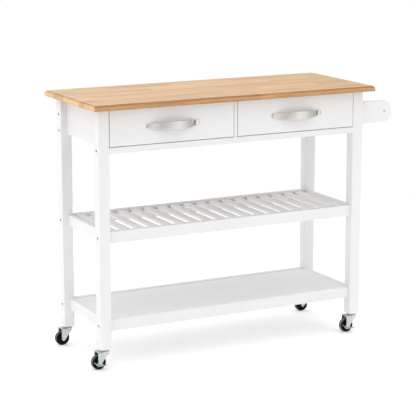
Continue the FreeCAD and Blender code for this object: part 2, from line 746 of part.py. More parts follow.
def build_towel_rail():
    axis_x = f"({TOWEL_END} - rod_inset)"
    rod_screws = []
    for row in ("front", "back"):
        body = new_body((RIGHT, f"{LEG_Y[row]} + towel_board / 2", TOWEL_FLOOR))
        drawing = new_sketch(body, "XZ_Plane")
        draw_outline(
            drawing,
            [("0", "0"), ("towel_reach", "0"), ("towel_reach", "towel_height"), ("0", "towel_height")],
        )
        blank = pad(body, drawing, "towel_board")
        doc.recompute()
        outer = [
            name
            for name in edges_along(blank.Shape, "Y")
            if blank.Shape.getElement(name).BoundBox.XMin > value_of("towel_reach") / 2
        ]
        round_edges(body, blank, outer, "towel_corner")
        outside = "-" if row == "front" else "+"
        face = (axis_x, f"({LEG_Y[row]} {outside} towel_board / 2)", TOWEL_MIDDLE)
        length = "(towel_board + rod_screw_bite)"
        holes = countersunk_holes(face, INWARD[row], length)
        for height in TOWEL_SCREWS:
            holes += countersunk_holes((INNER_RIGHT, LEG_Y[row], height), "+X", TOWEL_SCREW_LENGTH)
        finish(cut(body, holes), f"towel_bracket_{row}")
        rod_screws.append((face, INWARD[row], length))
    start = (axis_x, f"({LEG_Y['front']} + towel_board / 2)", TOWEL_MIDDLE)
    length = f"({LEG_Y['back']} - {LEG_Y['front']} - towel_board)"
    bores = []
    for point, way, reach in rod_screws:
        bores += countersunk_holes(point, way, reach)
    finish(cut(rod(start, "+Y", "rod_diameter / 2", length), bores), "towel_rod")
    screws = [countersunk(*item) for item in rod_screws]
    for row in ("front", "back"):
        for height in TOWEL_SCREWS:
            point = (INNER_RIGHT, LEG_Y[row], height)
            screws.append(countersunk(point, "+X", TOWEL_SCREW_LENGTH))
    finish(group(screws), "towel_rail_screws")


AXLE_Z = "(wheel_diameter / 2)"
CHEEK_INSIDE = "(wheel_width / 2 + wheel_gap)"
CHEEK_OUTSIDE = f"({CHEEK_INSIDE} + fork_plate)"


def build_stems():
    """Threaded stems with their collars, rings and kingpins, and the inserts in the legs."""
    stems = []
    inserts = []
    for row, side in CORNERS:
        x, y = LEG_X[side], LEG_Y[row]
        ring_floor = f"({CROWN_TOP} + race_play)"
        shank = rod((x, y, CASTER_HEIGHT), "+Z", "stem_diameter / 2", "stem_length")
        collar = rod((x, y, ring_floor), "+Z", "collar_radius", "race_height + collar_height")
        ring = rod((x, y, ring_floor), "+Z", "fork_crown - arris", "race_height")
        pin_floor = f"({CROWN_FLOOR} - race_play - fork_plate)"
        reach = f"{ring_floor} - {pin_floor}"
        kingpin = rod((x, y, pin_floor), "+Z", "kingpin_diameter / 2", reach)
        head = rod((x, y, pin_floor), "+Z", "kingpin_head", "fork_plate")
        stems.append(fuse([shank, collar, ring, kingpin, head]))
        sleeve = rod((x, y, CASTER_HEIGHT), "+Z", "insert_diameter / 2", "stem_length")
        inserts.append(cut(sleeve, [shank]))
    finish(group(stems), "caster_stems")
    finish(group(inserts), "stem_inserts")


def build_fork(row, side):
    """Round crown with two cheeks that taper down and back to the axle."""
    x, y = LEG_X[side], LEG_Y[row]
    crown = rod((x, y, CROWN_FLOOR), "+Z", "fork_crown", "fork_crown_height")
    rear = "(wheel_trail + fork_eye)"
    bridge = box(
        (f"{x} - {rear}", f"{y} - {CHEEK_OUTSIDE}", f"{CROWN_FLOOR}"),
        (x, f"{y} + {CHEEK_OUTSIDE}", f"{CROWN_FLOOR} + fork_plate"),
    )
    parts = [crown, bridge]
    for sign in "-+":
        outside = CHEEK_OUTSIDE if sign == "-" else f"(-{CHEEK_INSIDE})"
        face = f"({y} - {outside})"
        body = new_body((f"{x} - {rear}", f"{face} + fork_plate", "0"))
        drawing = new_sketch(body, "XZ_Plane")
        draw_outline(
            drawing,
            [
                ("0", AXLE_Z),
                ("fork_eye", AXLE_Z),
                ("fork_eye * (1 + sin(45))", f"{AXLE_Z} - fork_eye * sin(45)"),
                (rear, f"{CROWN_FLOOR} - fork_cheek_drop"),
                (f"{rear} + fork_shoulder", f"{CROWN_FLOOR} - fork_plate"),
                (f"{rear} + fork_shoulder", f"{CROWN_FLOOR} + fork_plate"),
                ("0", f"{CROWN_FLOOR} + fork_plate"),
            ],
        )
        pad(body, drawing, "fork_plate")
        parts.append(body)
        parts.append(rod((f"{x} - wheel_trail", face, AXLE_Z), "+Y", "fork_eye", "fork_plate"))
    bores = [
        rod((x, y, CROWN_FLOOR), "+Z", "kingpin_diameter / 2 + shaft_play", "fork_crown_height"),
        rod(
            (f"{x} - wheel_trail", f"{y} - {CHEEK_OUTSIDE}", AXLE_Z),
            "+Y",
            "axle_diameter / 2 + shaft_play",
            f"2 * {CHEEK_OUTSIDE}",
        ),
    ]
    finish(cut(fuse(parts), bores), f"caster_fork_{row}_{side}")


def build_wheel(row, side):
    """Moulded wheel with a crowned tread, a sunk ring in each side and a plain bore."""
    x, y = LEG_X[side], LEG_Y[row]
    body = new_body((f"{x} - wheel_trail", f"{y} + wheel_width / 2", AXLE_Z))
    disc = new_sketch(body, "XZ_Plane")
    draw_circle(disc, ("0", "0"), "wheel_diameter / 2")
    blank = pad(body, disc, "wheel_width")
    doc.recompute()
    rims = [
        f"Edge{number}"
        for number, edge in enumerate(blank.Shape.Edges, start=1)
        if isinstance(edge.Curve, Part.Circle)
    ]
    round_edges(body, blank, rims, "wheel_round")
    for offset, reverse in (("0", False), ("wheel_width", True)):
        ring = new_sketch(body, "XZ_Plane", offset)
        draw_circle(ring, ("0", "0"), "wheel_diameter / 2 - wheel_rim")
        draw_circle(ring, ("0", "0"), "wheel_hub")
        pocket(body, ring, "wheel_dish", not reverse)
    bore = new_sketch(body, "XZ_Plane")
    draw_circle(bore, ("0", "0"), "axle_diameter / 2 + shaft_play")
    pocket(body, bore, "wheel_width", True)
    finish(body, f"caster_wheel_{row}_{side}")


def build_axle(row, side):
    """Headed pin through both cheeks, longer where it also carries a brake rocker."""
    x, y = LEG_X[side], LEG_Y[row]
    extra = "(brake_plate + race_play)" if row == "front" else "0"
    start = (f"({x} - wheel_trail)", f"({y} - {CHEEK_OUTSIDE} - {extra})", AXLE_Z)
    span = f"(2 * {CHEEK_OUTSIDE} + {extra})"
    heads = [
        rod(start, "-Y", "axle_head", "axle_head_height"),
        rod(along(start, "+Y", span), "+Y", "axle_head", "axle_head_height"),
    ]
    pin = rod(start, "+Y", "axle_diameter / 2", span)
    finish(fuse([pin] + heads), f"caster_axle_{row}_{side}")


def build_brake(side):
    """Pressed rocker on the front of the fork: an eye on the axle and a bent foot strip."""
    x, y = LEG_X[side], LEG_Y["front"]
    back_face = f"({y} - {CHEEK_OUTSIDE} - race_play / 2)"
    body = new_body((f"{x} - wheel_trail", back_face, AXLE_Z))
    low = "(-brake_drop)"
    web = new_sketch(body, "XZ_Plane")
    draw_circle(web, ("0", "0"), "brake_eye")
    pad(body, web, "brake_plate")
    strip = new_sketch(body, "XZ_Plane")
    draw_outline(
        strip,
        [
            ("-brake_back", "brake_rise"),
            ("-brake_bend", low),
            ("brake_reach", low),
            ("brake_reach", f"{low} + brake_plate"),
            ("-brake_bend + brake_plate / 2", f"{low} + brake_plate"),
            ("-brake_back + brake_plate * sin(45)", "brake_rise + brake_plate * sin(45)"),
        ],
    )
    pad(body, strip, "brake_plate + brake_pad")
    gusset = new_sketch(body, "XZ_Plane")
    draw_outline(
        gusset,
        [
            ("-brake_back + brake_rise + brake_web_drop", "-brake_web_drop"),
            ("-brake_bend + brake_plate / 2", f"{low} + brake_plate / 2"),
            ("brake_web_foot", f"{low} + brake_plate / 2"),
            ("brake_web_top", "-brake_web_drop"),
        ],
    )
    pad(body, gusset, "brake_plate")
    bore = new_sketch(body, "XZ_Plane")
    draw_circle(bore, ("0", "0"), "axle_diameter / 2 + shaft_play")
    pocket(body, bore, "brake_plate", True)
    finish(body, f"brake_rocker_{side}")


def build_fasteners():
    bolts = []
    nuts = []
    for row, side in CORNERS:
        for name in ROW_BOLTS[row]:
            bolts.append(bolt(bolt_point(row, side, name), INWARD[side]))
            start, way = nut_axis(row, side, name)
            nut_start = along(start, way, "(long_board - nut_length) / 2")
            nut = rod(nut_start, way, "nut_diameter / 2", "nut_length")
            point = bolt_point(row, side, name)
            thread = rod(point, INWARD[side], "bolt_diameter / 2", "leg_size + bolt_length")
            nuts.append(cut(nut, [thread]))
    finish(group(bolts), "frame_bolts")
    finish(group(nuts), "barrel_nuts")
    dowels = []
    for row, side in CORNERS:
        for heights in DOWEL_HEIGHTS.values():
            for height in heights:
                start = dowel_start(row, side, height)
                dowels.append(rod(start, INWARD[row], "dowel_diameter / 2", "dowel_length"))
    finish(group(dowels), "side_frame_dowels")


def build_worktop_brackets():
    angles = []
    screws = []
    for side, y in BRACKET_PLACES:
        corner = (INNER_FACE[side], y, LEG_TOP)
        tip = along(corner, INWARD[side], "bracket_leg")
        heel = along(corner, INWARD[side], "bracket_plate")
        plates = []
        for end, height in ((tip, "bracket_plate"), (heel, "bracket_leg")):
            start_x, end_x = (corner[0], end[0]) if side == "left" else (end[0], corner[0])
            low = (start_x, f"{y} - bracket_width / 2", f"{LEG_TOP} - {height}")
            plates.append(box(low, (end_x, f"{y} + bracket_width / 2", LEG_TOP)))
        angles.append(cut(fuse(plates), bracket_screw_holes([(side, y)])))
        screws += [screw(*item) for item in bracket_screws(side, y)]
    finish(group(angles), "worktop_brackets")
    finish(group(screws), "worktop_bracket_screws")


build_worktop()
build_legs()
build_aprons()
build_drawer_bay()
build_shelf_rails()
build_shelves()
build_runners()
for drawer in ("left", "right"):
    build_drawer(drawer)
build_towel_rail()
build_stems()
for caster_row, caster_side in CORNERS:
    build_fork(caster_row, caster_side)
    build_wheel(caster_row, caster_side)
    build_axle(caster_row, caster_side)
for brake_side in ("left", "right"):
    build_brake(brake_side)
build_fasteners()
build_worktop_brackets()
doc.recompute()

for item in doc.Objects:
    if "Invalid" in item.State or "Error" in item.State:
        raise RuntimeError(f"{item.Label} failed: {item.State}")
for node in nodes:
    if node.Shape.isNull() or not node.Shape.isValid():
        raise RuntimeError(f"{node.Label} has no valid shape")

os.makedirs("parts", exist_ok=True)
for node in nodes:
    node.Shape.exportStep(os.path.join("parts", node.Label + ".step"))
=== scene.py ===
# The looks of a kitchen island cart: worktop, painted frame, two drawers with
# reeded handles, a slatted shelf, a closed shelf, a towel rail and four casters.
# Metres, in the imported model's own frame. X runs along the worktop, Y from front
# to back, Z up, and the floor is z = 0.

import bmesh
import bpy
import math
from mathutils import Matrix, Vector


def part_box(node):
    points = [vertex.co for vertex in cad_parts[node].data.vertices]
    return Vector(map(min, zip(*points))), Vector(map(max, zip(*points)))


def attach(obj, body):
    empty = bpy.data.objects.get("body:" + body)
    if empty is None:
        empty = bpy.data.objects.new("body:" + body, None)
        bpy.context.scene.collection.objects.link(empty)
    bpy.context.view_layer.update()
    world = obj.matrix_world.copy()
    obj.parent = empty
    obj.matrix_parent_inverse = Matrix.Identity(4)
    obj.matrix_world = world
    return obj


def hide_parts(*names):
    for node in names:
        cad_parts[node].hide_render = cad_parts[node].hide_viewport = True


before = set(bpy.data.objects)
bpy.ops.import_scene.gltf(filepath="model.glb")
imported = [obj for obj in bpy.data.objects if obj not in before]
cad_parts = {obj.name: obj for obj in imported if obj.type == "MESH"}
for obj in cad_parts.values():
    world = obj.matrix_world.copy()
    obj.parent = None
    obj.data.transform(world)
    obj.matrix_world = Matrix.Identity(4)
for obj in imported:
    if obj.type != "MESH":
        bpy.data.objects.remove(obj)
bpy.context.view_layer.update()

MM = 0.001
SIDES = ("left", "right")
CORNERS = [f"{row}_{side}" for row in ("front", "back") for side in SIDES]


# ---------------------------------------------------------------- node helpers


def linear(hex_colour):
    """The linear colour, with full opacity, of an sRGB hex value."""
    channels = [int(hex_colour[start : start + 2], 16) / 255 for start in (1, 3, 5)]
    return [
        c / 12.92 if c <= 0.04045 else ((c + 0.055) / 1.055) ** 2.4 for c in channels
    ] + [1.0]


def add(tree, kind, inputs=None, **settings):
    """Adds a node with its settings. An input is a value, or the socket that feeds it."""
    made = tree.nodes.new(kind)
    for name, value in settings.items():
        setattr(made, name, value)
    for name, value in (inputs or {}).items():
        if isinstance(value, bpy.types.NodeSocket):
            tree.links.new(value, made.inputs[name])
        else:
            made.inputs[name].default_value = value
    return made


def new_material(name):
    """A material with a Principled shader: (material, tree, shader, object coordinates)."""
    made = bpy.data.materials.new(name)
    made.use_nodes = True
    tree = made.node_tree
    tree.nodes.clear()
    shader = add(tree, "ShaderNodeBsdfPrincipled")
    add(tree, "ShaderNodeOutputMaterial", {"Surface": shader.outputs["BSDF"]})
    return made, tree, shader, add(tree, "ShaderNodeTexCoord").outputs["Object"]


def ramp(tree, factor, stops):
    """The colour of a factor on a ramp of (place, hex colour) stops."""
    made = add(tree, "ShaderNodeValToRGB", {"Fac": factor})
    elements = made.color_ramp.elements
    while len(elements) < len(stops):
        elements.new(0.5)
    for element, (place, colour) in zip(elements, stops):
        element.position = place
        element.color = linear(colour)
    return made.outputs["Color"]


def sums(tree, operation, *values):
    """A Math node's result."""
    made = add(tree, "ShaderNodeMath", dict(enumerate(values)), operation=operation)
    return made.outputs["Value"]


def mixed(tree, factor, first, second, blend="MIX"):
    """The two colours mixed by a factor."""
    made = add(tree, "ShaderNodeMix", data_type="RGBA", blend_type=blend)
    for socket, value in zip((0, 6, 7), (factor, first, second)):
        if isinstance(value, bpy.types.NodeSocket):
            tree.links.new(value, made.inputs[socket])
        else:
            made.inputs[socket].default_value = value
    return made.outputs[2]


def noise(tree, coords, per_metre, **inputs):
    """A noise value whose size along each axis is set in waves per metre."""
    placed = add(tree, "ShaderNodeMapping", {"Vector": coords, "Scale": per_metre})
    values = {"Vector": placed.outputs["Vector"], "Scale": 1.0}
    values.update({name.replace("_", " "): value for name, value in inputs.items()})
    return add(tree, "ShaderNodeTexNoise", values).outputs["Fac"]


def bump(tree, shader, height, depth, strength=1.0, under=None):
    """Feeds the shader's normal from a height between 0 and 1, depth metres deep."""
    made = add(
        tree,
        "ShaderNodeBump",
        {"Height": height, "Distance": depth, "Strength": strength},
    )
    if under is not None:
        tree.links.new(under, made.inputs["Normal"])
    tree.links.new(made.outputs["Normal"], shader.inputs["Normal"])
    return made.outputs["Normal"]


# ------------------------------------------------------------------- materials

STAVE_WIDTH = 44 * MM
STAVE_LENGTH = 230 * MM
FINGER_PITCH = 5 * MM
FINGER_LENGTH = 9 * MM
GLUE_LINE = 0.5 * MM
STAVE_TONES = [
    (0.0, "#D3A368"),
    (0.3, "#DEB37C"),
    (0.62, "#E7BF8B"),
    (0.85, "#DCAF78"),
    (1.0, "#CE9C62"),
]
BAND_TONES = [(0.3, "#E2D3BB"), (0.55, "#FFFFFF"), (0.75, "#F1E4CE")]
FLECK_TONES = [(0.35, "#D4BE9E"), (0.5, "#FFFFFF"), (0.7, "#F4EAD8")]
PORE_TONES = [(0.28, "#9C7550"), (0.36, "#FFFFFF")]
RING_TONES = [(0.3, "#DCC3A2"), (0.55, "#FFFAF0")]
# places are shares of the board's thickness, from its top down
# a slightly darker edge colour, with painted shade as a dark band just under the shoulder and
# darker towards the underside
EDGE_STAIN_AND_SHADE = [
    (0.03, "#FFFFFF"),
    (0.08, "#C4AD98"),
    (0.2, "#B79C84"),
    (0.34, "#E7E0DC"),
    (0.6, "#ECE7E4"),
    (0.85, "#D8CCC0"),
    (1.0, "#CBBBAC"),
]
EDGE_BLOCKS = [(0.0, "#D2B592"), (0.3, "#FFFFFF"), (0.7, "#FFFFFF"), (1.0, "#BE9A72")]
SHOULDER_SHARE = 0.1


def lacquered_rubberwood():
    """Edge-glued, finger-jointed rubberwood, sanded and lacquered satin.

    The eye gets staves that differ a little in tone, straight grain with short
    dark pores, thin glue lines, paler end grain, a moulded edge coloured a little
    darker, with painted shade under its shoulder and towards its underside, and a
    soft sheen.
    """
    made, tree, shader, coords = new_material("lacquered_rubberwood")
    apart = add(tree, "ShaderNodeSeparateXYZ", {"Vector": coords})
    x, y = apart.outputs["X"], apart.outputs["Y"]
    rows = sums(tree, "DIVIDE", y, STAVE_WIDTH)
    row = sums(tree, "FLOOR", rows)
    shift = add(tree, "ShaderNodeTexWhiteNoise", {"W": row}, noise_dimensions="1D")
    across = sums(tree, "PINGPONG", y, FINGER_PITCH / 2)
    fingers = sums(tree, "MULTIPLY", across, 2 * FINGER_LENGTH / FINGER_PITCH)
    jointed = sums(tree, "ADD", x, fingers)
    lengths = sums(
        tree,
        "ADD",
        sums(tree, "DIVIDE", jointed, STAVE_LENGTH),
        sums(tree, "MULTIPLY", shift.outputs["Value"], 7.0),
    )
    piece = sums(tree, "FLOOR", lengths)
    stave = add(tree, "ShaderNodeCombineXYZ", {"X": row, "Y": piece})
    chance = add(
        tree,
        "ShaderNodeTexWhiteNoise",
        {"Vector": stave.outputs["Vector"]},
        noise_dimensions="3D",
    )
    own_place = add(
        tree,
        "ShaderNodeVectorMath",
        {0: coords, 1: chance.outputs["Color"]},
        operation="ADD",
    ).outputs["Vector"]

    # growth bands 6 to 9 mm apart, long flecks, and pores 0.3 mm wide drawn 0.7 mm wide
    bands = noise(tree, own_place, (2.2, 120, 120), Detail=3.0, Distortion=0.6)
    flecks = noise(tree, own_place, (14, 420, 420), Detail=4.0, Roughness=0.6)
    pores = noise(tree, own_place, (55, 1400, 1400), Detail=2.0)
    tone = ramp(tree, chance.outputs["Value"], STAVE_TONES)
    banded = mixed(tree, 1.0, tone, ramp(tree, bands, BAND_TONES), "MULTIPLY")
    flecked = mixed(tree, 0.8, banded, ramp(tree, flecks, FLECK_TONES), "MULTIPLY")
    pored = mixed(tree, 0.7, flecked, ramp(tree, pores, PORE_TONES), "MULTIPLY")

    # the sanded end grain is paler between its fine rings
    normal = add(tree, "ShaderNodeNewGeometry").outputs["Normal"]
    facing = add(tree, "ShaderNodeSeparateXYZ", {"Vector": normal}).outputs["X"]
    ends = add(
        tree,
        "ShaderNodeMapRange",
        {"Value": sums(tree, "ABSOLUTE", facing), "From Min": 0.35, "From Max": 0.8},
    ).outputs["Result"]
    rings = noise(tree, own_place, (30, 260, 900), Detail=3.0, Distortion=1.2)
    pale = mixed(tree, 0.35, tone, linear("#FFE6C0"))
    end_grain = mixed(tree, 1.0, pale, ramp(tree, rings, RING_TONES), "MULTIPLY")
    wood = mixed(tree, sums(tree, "MULTIPLY", ends, 0.8), pored, end_grain)

    # the moulded edge is coloured a little darker all over, and painted shade makes a dark line in
    # the corner under its shoulder and darkens it towards its underside
    low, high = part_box("worktop")
    depth = sums(tree, "SUBTRACT", high.z, apart.outputs["Z"])
    stain_and_painted_shade = ramp(tree, sums(tree, "DIVIDE", depth, high.z - low.z), EDGE_STAIN_AND_SHADE)
    block = ramp(tree, chance.outputs["Value"], EDGE_BLOCKS)
    below = sums(tree, "GREATER_THAN", depth, (high.z - low.z) * SHOULDER_SHARE)
    stained_and_shaded = mixed(tree, 1.0, wood, stain_and_painted_shade, "MULTIPLY")
    wood = mixed(tree, sums(tree, "MULTIPLY", ends, 0.8), stained_and_shaded, wood)
    take = sums(tree, "SUBTRACT", 0.8, sums(tree, "MULTIPLY", ends, 0.45))
    blocks = mixed(tree, 1.0, wood, block, "MULTIPLY")
    wood = mixed(tree, sums(tree, "MULTIPLY", below, take), wood, blocks)

    # a glue line along each stave and round each finger joint
    to_side = sums(tree, "MULTIPLY", sums(tree, "PINGPONG", rows, 0.5), STAVE_WIDTH)
    to_end = sums(tree, "MULTIPLY", sums(tree, "PINGPONG", lengths, 0.5), STAVE_LENGTH)
    nearest = sums(tree, "MINIMUM", to_side, to_end)
    glue = add(
        tree,
        "ShaderNodeMapRange",
        {"Value": nearest, "From Min": 0.0, "From Max": GLUE_LINE, "To Min": 0.45, "To Max": 0.0},
    ).outputs["Result"]
    tree.links.new(mixed(tree, glue, wood, linear("#9A6E45")), shader.inputs["Base Color"])

    roughness = add(
        tree, "ShaderNodeMapRange", {"Value": flecks, "To Min": 0.26, "To Max": 0.36}
    ).outputs["Result"]
    tree.links.new(roughness, shader.inputs["Roughness"])
    shader.inputs["IOR"].default_value = 1.5
    grain = bump(tree, shader, flecks, 0.15 * MM)
    bump(tree, shader, pores, 0.1 * MM, under=grain)
    return made


def satin_painted_wood(name, along):
    """Primed pine or board under sprayed satin white paint.

    The eye gets a clean warm white with a soft sheen, the faint relief of the
    grain along the board and the fine orange peel of sprayed paint.
    """
    made, tree, shader, coords = new_material(name)
    grain_waves = [170.0, 170.0, 170.0]
    grain_waves[along] = 5.0
    grain = noise(tree, coords, grain_waves, Detail=4.0, Roughness=0.65, Distortion=0.4)
    cloud = noise(tree, coords, (7, 7, 7), Detail=2.0)
    # orange peel is 1 mm across in life, drawn 2.5 mm across so that it shows
    peel = noise(tree, coords, (400, 400, 400), Detail=1.0)
    white = ramp(tree, cloud, [(0.3, "#E3E3E3"), (0.7, "#E6E6E6")])
    soft = ramp(tree, grain, [(0.3, "#F7F7F7"), (0.6, "#FFFFFF")])
    tree.links.new(mixed(tree, 0.25, white, soft, "MULTIPLY"), shader.inputs["Base Color"])
    roughness = add(
        tree, "ShaderNodeMapRange", {"Value": cloud, "To Min": 0.38, "To Max": 0.52}
    ).outputs["Result"]
    tree.links.new(roughness, shader.inputs["Roughness"])
    shader.inputs["IOR"].default_value = 1.5
    relief = bump(tree, shader, grain, 0.02 * MM)
    bump(tree, shader, peel, 0.03 * MM, under=relief)
    return made


def brushed_satin_nickel():
    """Zinc alloy castings, brushed lengthwise and plated in satin nickel.

    The eye gets a warm grey metal whose highlights spread across the brushing.
    """
    made, tree, shader, coords = new_material("brushed_satin_nickel")
    # brush lines 0.1 mm apart in life, drawn 0.4 mm apart
    lines = noise(tree, coords, (25, 900, 2500), Detail=2.0, Roughness=0.5)
    colour = ramp(tree, lines, [(0.3, "#CCC9C5"), (0.7, "#DAD7D3")])
    tree.links.new(colour, shader.inputs["Base Color"])
    shader.inputs["Metallic"].default_value = 1.0
    roughness = add(
        tree, "ShaderNodeMapRange", {"Value": lines, "To Min": 0.14, "To Max": 0.26}
    ).outputs["Result"]
    tree.links.new(roughness, shader.inputs["Roughness"])
    bump(tree, shader, lines, 0.008 * MM)
    return made


def blackened_steel():
    """Socket-head screws and bolts with an oiled black oxide finish, worn a little grey."""
    made, tree, shader, coords = new_material("blackened_steel")
    wear = noise(tree, coords, (500, 500, 500), Detail=3.0)
    colour = ramp(tree, wear, [(0.3, "#9A9A9C"), (0.7, "#B8B9BB")])
    tree.links.new(colour, shader.inputs["Base Color"])
    shader.inputs["Metallic"].default_value = 1.0
    shader.inputs["Roughness"].default_value = 0.38
    bump(tree, shader, wear, 0.02 * MM)
    return made


def bright_zinc_plate():
    """Pressed steel, zinc plated and passivated.

    The eye gets a cool bright metal, slightly cloudy, with small spangle.
    """
    made, tree, shader, coords = new_material("bright_zinc_plate")
    cloud = noise(tree, coords, (160, 160, 160), Detail=3.0)
    spangle = add(
        tree, "ShaderNodeTexVoronoi", {"Vector": coords, "Scale": 600.0}
    ).outputs["Color"]
    plated = ramp(tree, cloud, [(0.3, "#B4BCBA"), (0.7, "#CFD5D3")])
    colour = mixed(tree, 0.05, plated, spangle, "SOFT_LIGHT")
    tree.links.new(colour, shader.inputs["Base Color"])
    shader.inputs["Metallic"].default_value = 1.0
    roughness = add(
        tree, "ShaderNodeMapRange", {"Value": cloud, "To Min": 0.24, "To Max": 0.34}
    ).outputs["Result"]
    tree.links.new(roughness, shader.inputs["Roughness"])
    bump(tree, shader, cloud, 0.02 * MM)
    return made


def moulded_black(name, colour, light_colour, tread_colour=None):
    """Moulded polypropylene core or polyurethane tread, in black.

    The eye gets a near-black plastic with a fine moulded texture and, on the
    rolling surface, the grey of dust and wear.
    """
    made, tree, shader, coords = new_material(name)
    # spark texture 0.2 mm across in life, drawn 0.6 mm across
    texture = noise(tree, coords, (1600, 1600, 1600), Detail=2.0)
    cloud = noise(tree, coords, (60, 60, 60), Detail=3.0)
    black = ramp(tree, cloud, [(0.3, colour), (0.75, light_colour)])
    if tread_colour:
        sideways = add(tree, "ShaderNodeTexCoord").outputs["Normal"]
        facing = add(tree, "ShaderNodeSeparateXYZ", {"Vector": sideways}).outputs["Y"]
        rolling = sums(tree, "LESS_THAN", sums(tree, "ABSOLUTE", facing), 0.6)
        dusty = mixed(tree, texture, black, linear(tread_colour))
        black = mixed(tree, rolling, black, dusty)
    tree.links.new(black, shader.inputs["Base Color"])
    spread = add(
        tree, "ShaderNodeMapRange", {"Value": texture, "To Min": 0.42, "To Max": 0.62}
    ).outputs["Result"]
    tree.links.new(spread, shader.inputs["Roughness"])
    shader.inputs["Specular IOR Level"].default_value = 0.15
    bump(tree, shader, texture, 0.05 * MM)
    return made


PLY = 1.5 * MM


def birch_plywood():
    """Birch plywood, sanded and left bare.

    The eye gets a pale veneer with broad soft figure, and striped edges where
    the plies run in turn along and across the board.
    """
    made, tree, shader, coords = new_material("birch_plywood")
    apart = add(tree, "ShaderNodeSeparateXYZ", {"Vector": coords})
    figure = noise(tree, coords, (40, 4, 90), Detail=4.0, Distortion=1.0)
    veneer = ramp(tree, figure, [(0.3, "#D8BC92"), (0.55, "#E4CDA6"), (0.75, "#DCC39B")])
    plies = sums(
        tree, "GREATER_THAN", sums(tree, "PINGPONG", apart.outputs["X"], PLY), PLY / 2
    )
    edge = mixed(tree, plies, linear("#DABD92"), linear("#B48E60"))
    normal = add(tree, "ShaderNodeNewGeometry").outputs["Normal"]
    facing = add(tree, "ShaderNodeSeparateXYZ", {"Vector": normal}).outputs["Z"]
    on_edge = sums(tree, "GREATER_THAN", sums(tree, "ABSOLUTE", facing), 0.7)
    tree.links.new(mixed(tree, on_edge, veneer, edge), shader.inputs["Base Color"])
    shader.inputs["Roughness"].default_value = 0.62
    bump(tree, shader, figure, 0.1 * MM)
    return made


def white_faced_hardboard():
    """Thin hardboard with a printed white face, smooth on top and meshed below."""
    made, tree, shader, coords = new_material("white_faced_hardboard")
    normal = add(tree, "ShaderNodeNewGeometry").outputs["Normal"]
    facing = add(tree, "ShaderNodeSeparateXYZ", {"Vector": normal}).outputs["Z"]
    above = sums(tree, "GREATER_THAN", facing, 0.5)
    felt = noise(tree, coords, (500, 500, 500), Detail=3.0)
    brown = ramp(tree, felt, [(0.3, "#6F4C30"), (0.7, "#8C6545")])
    white = ramp(tree, felt, [(0.3, "#E8E8E5"), (0.7, "#EEEEEB")])
    tree.links.new(mixed(tree, above, brown, white), shader.inputs["Base Color"])
    shader.inputs["Roughness"].default_value = 0.5
    bump(tree, shader, felt, 0.1 * MM)
    return made


def plain_beech(name, along):
    """Turned or planed beech, oiled.

    The eye gets a pinkish tan wood with short dark flecks along the grain.
    """
    made, tree, shader, coords = new_material(name)
    waves = [700.0, 700.0, 700.0]
    waves[along] = 45.0
    flecks = noise(tree, coords, waves, Detail=3.0)
    broad = [60.0, 60.0, 60.0]
    broad[along] = 3.0
    figure = noise(tree, coords, broad, Detail=3.0)
    base = ramp(tree, figure, [(0.3, "#C49A6E"), (0.7, "#D8B28A")])
    dark = ramp(tree, flecks, [(0.3, "#A87C52"), (0.42, "#FFFFFF")])
    tree.links.new(mixed(tree, 0.6, base, dark, "MULTIPLY"), shader.inputs["Base Color"])
    shader.inputs["Roughness"].default_value = 0.5
    bump(tree, shader, flecks, 0.08 * MM)
    return made


FLOOR_GLOW = 0.17


def matt_floor():
    """A white studio floor."""
    made, tree, shader, coords = new_material("matt_white_floor")
    cloud = noise(tree, coords, (3, 3, 3), Detail=2.0)
    colour = ramp(tree, cloud, [(0.3, "#F6F6F6"), (0.7, "#F8F8F8")])
    tree.links.new(colour, shader.inputs["Base Color"])
    shader.inputs["Roughness"].default_value = 0.9
    shader.inputs["Specular IOR Level"].default_value = 0.0
    # a light table's glow, which keeps the shadow under the cart faint
    shader.inputs["Emission Color"].default_value = linear("#FFFFFF")
    shader.inputs["Emission Strength"].default_value = FLOOR_GLOW
    return made


ALONG_X, ALONG_Y, ALONG_Z = 0, 1, 2
worktop_finish = lacquered_rubberwood()
paint_x = satin_painted_wood("satin_painted_wood_lengthwise", ALONG_X)
paint_y = satin_painted_wood("satin_painted_wood_crosswise", ALONG_Y)
paint_z = satin_painted_wood("satin_painted_wood_upright", ALONG_Z)
nickel = brushed_satin_nickel()
zinc = bright_zinc_plate()
black_oxide = blackened_steel()
tread_black = moulded_black("moulded_black_polyurethane", "#0E0E0F", "#1C1C1D", "#8A8A89")
core_black = moulded_black("moulded_black_polypropylene", "#060607", "#0E0E0F")
plywood = birch_plywood()
hardboard = white_faced_hardboard()
beech = plain_beech("plain_beech", ALONG_Y)

SLOT_FINISH = {
    "worktop_wood": worktop_finish,
    "white_paint": paint_x,
    "drawer_plywood": plywood,
    "drawer_hardboard": hardboard,
    "beech_dowel": beech,
    "satin_nickel": nickel,
    "zinc_steel": zinc,
    "black_wheel": tread_black,
}
UPRIGHT = [f"leg_{corner}" for corner in CORNERS]
CROSSWISE = [
    *(f"side_apron_{side}" for side in SIDES),
    *(f"{shelf}_shelf_rail_{side}" for shelf in ("upper", "lower") for side in SIDES),
    "shelf_slats",
    "shelf_cleats",
    "drawer_divider",
]
BLACKENED = ["frame_bolts", "towel_rail_screws"]


def dress_cad_nodes():
    """Gives every CAD node the finish of its material slot, with grain along its board."""
    for name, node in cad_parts.items():
        slot_names = [old.name.split(".")[0] for old in node.data.materials if old]
        found = [SLOT_FINISH[key] for key in slot_names if key in SLOT_FINISH]
        finish = found[0] if found else paint_x
        if finish is paint_x and name in UPRIGHT:
            finish = paint_z
        if finish is paint_x and name in CROSSWISE:
            finish = paint_y
        if name in BLACKENED:
            finish = black_oxide
        node.data.materials.clear()
        node.data.materials.append(finish)


dress_cad_nodes()


# ------------------------------------------------- making and placing the pieces


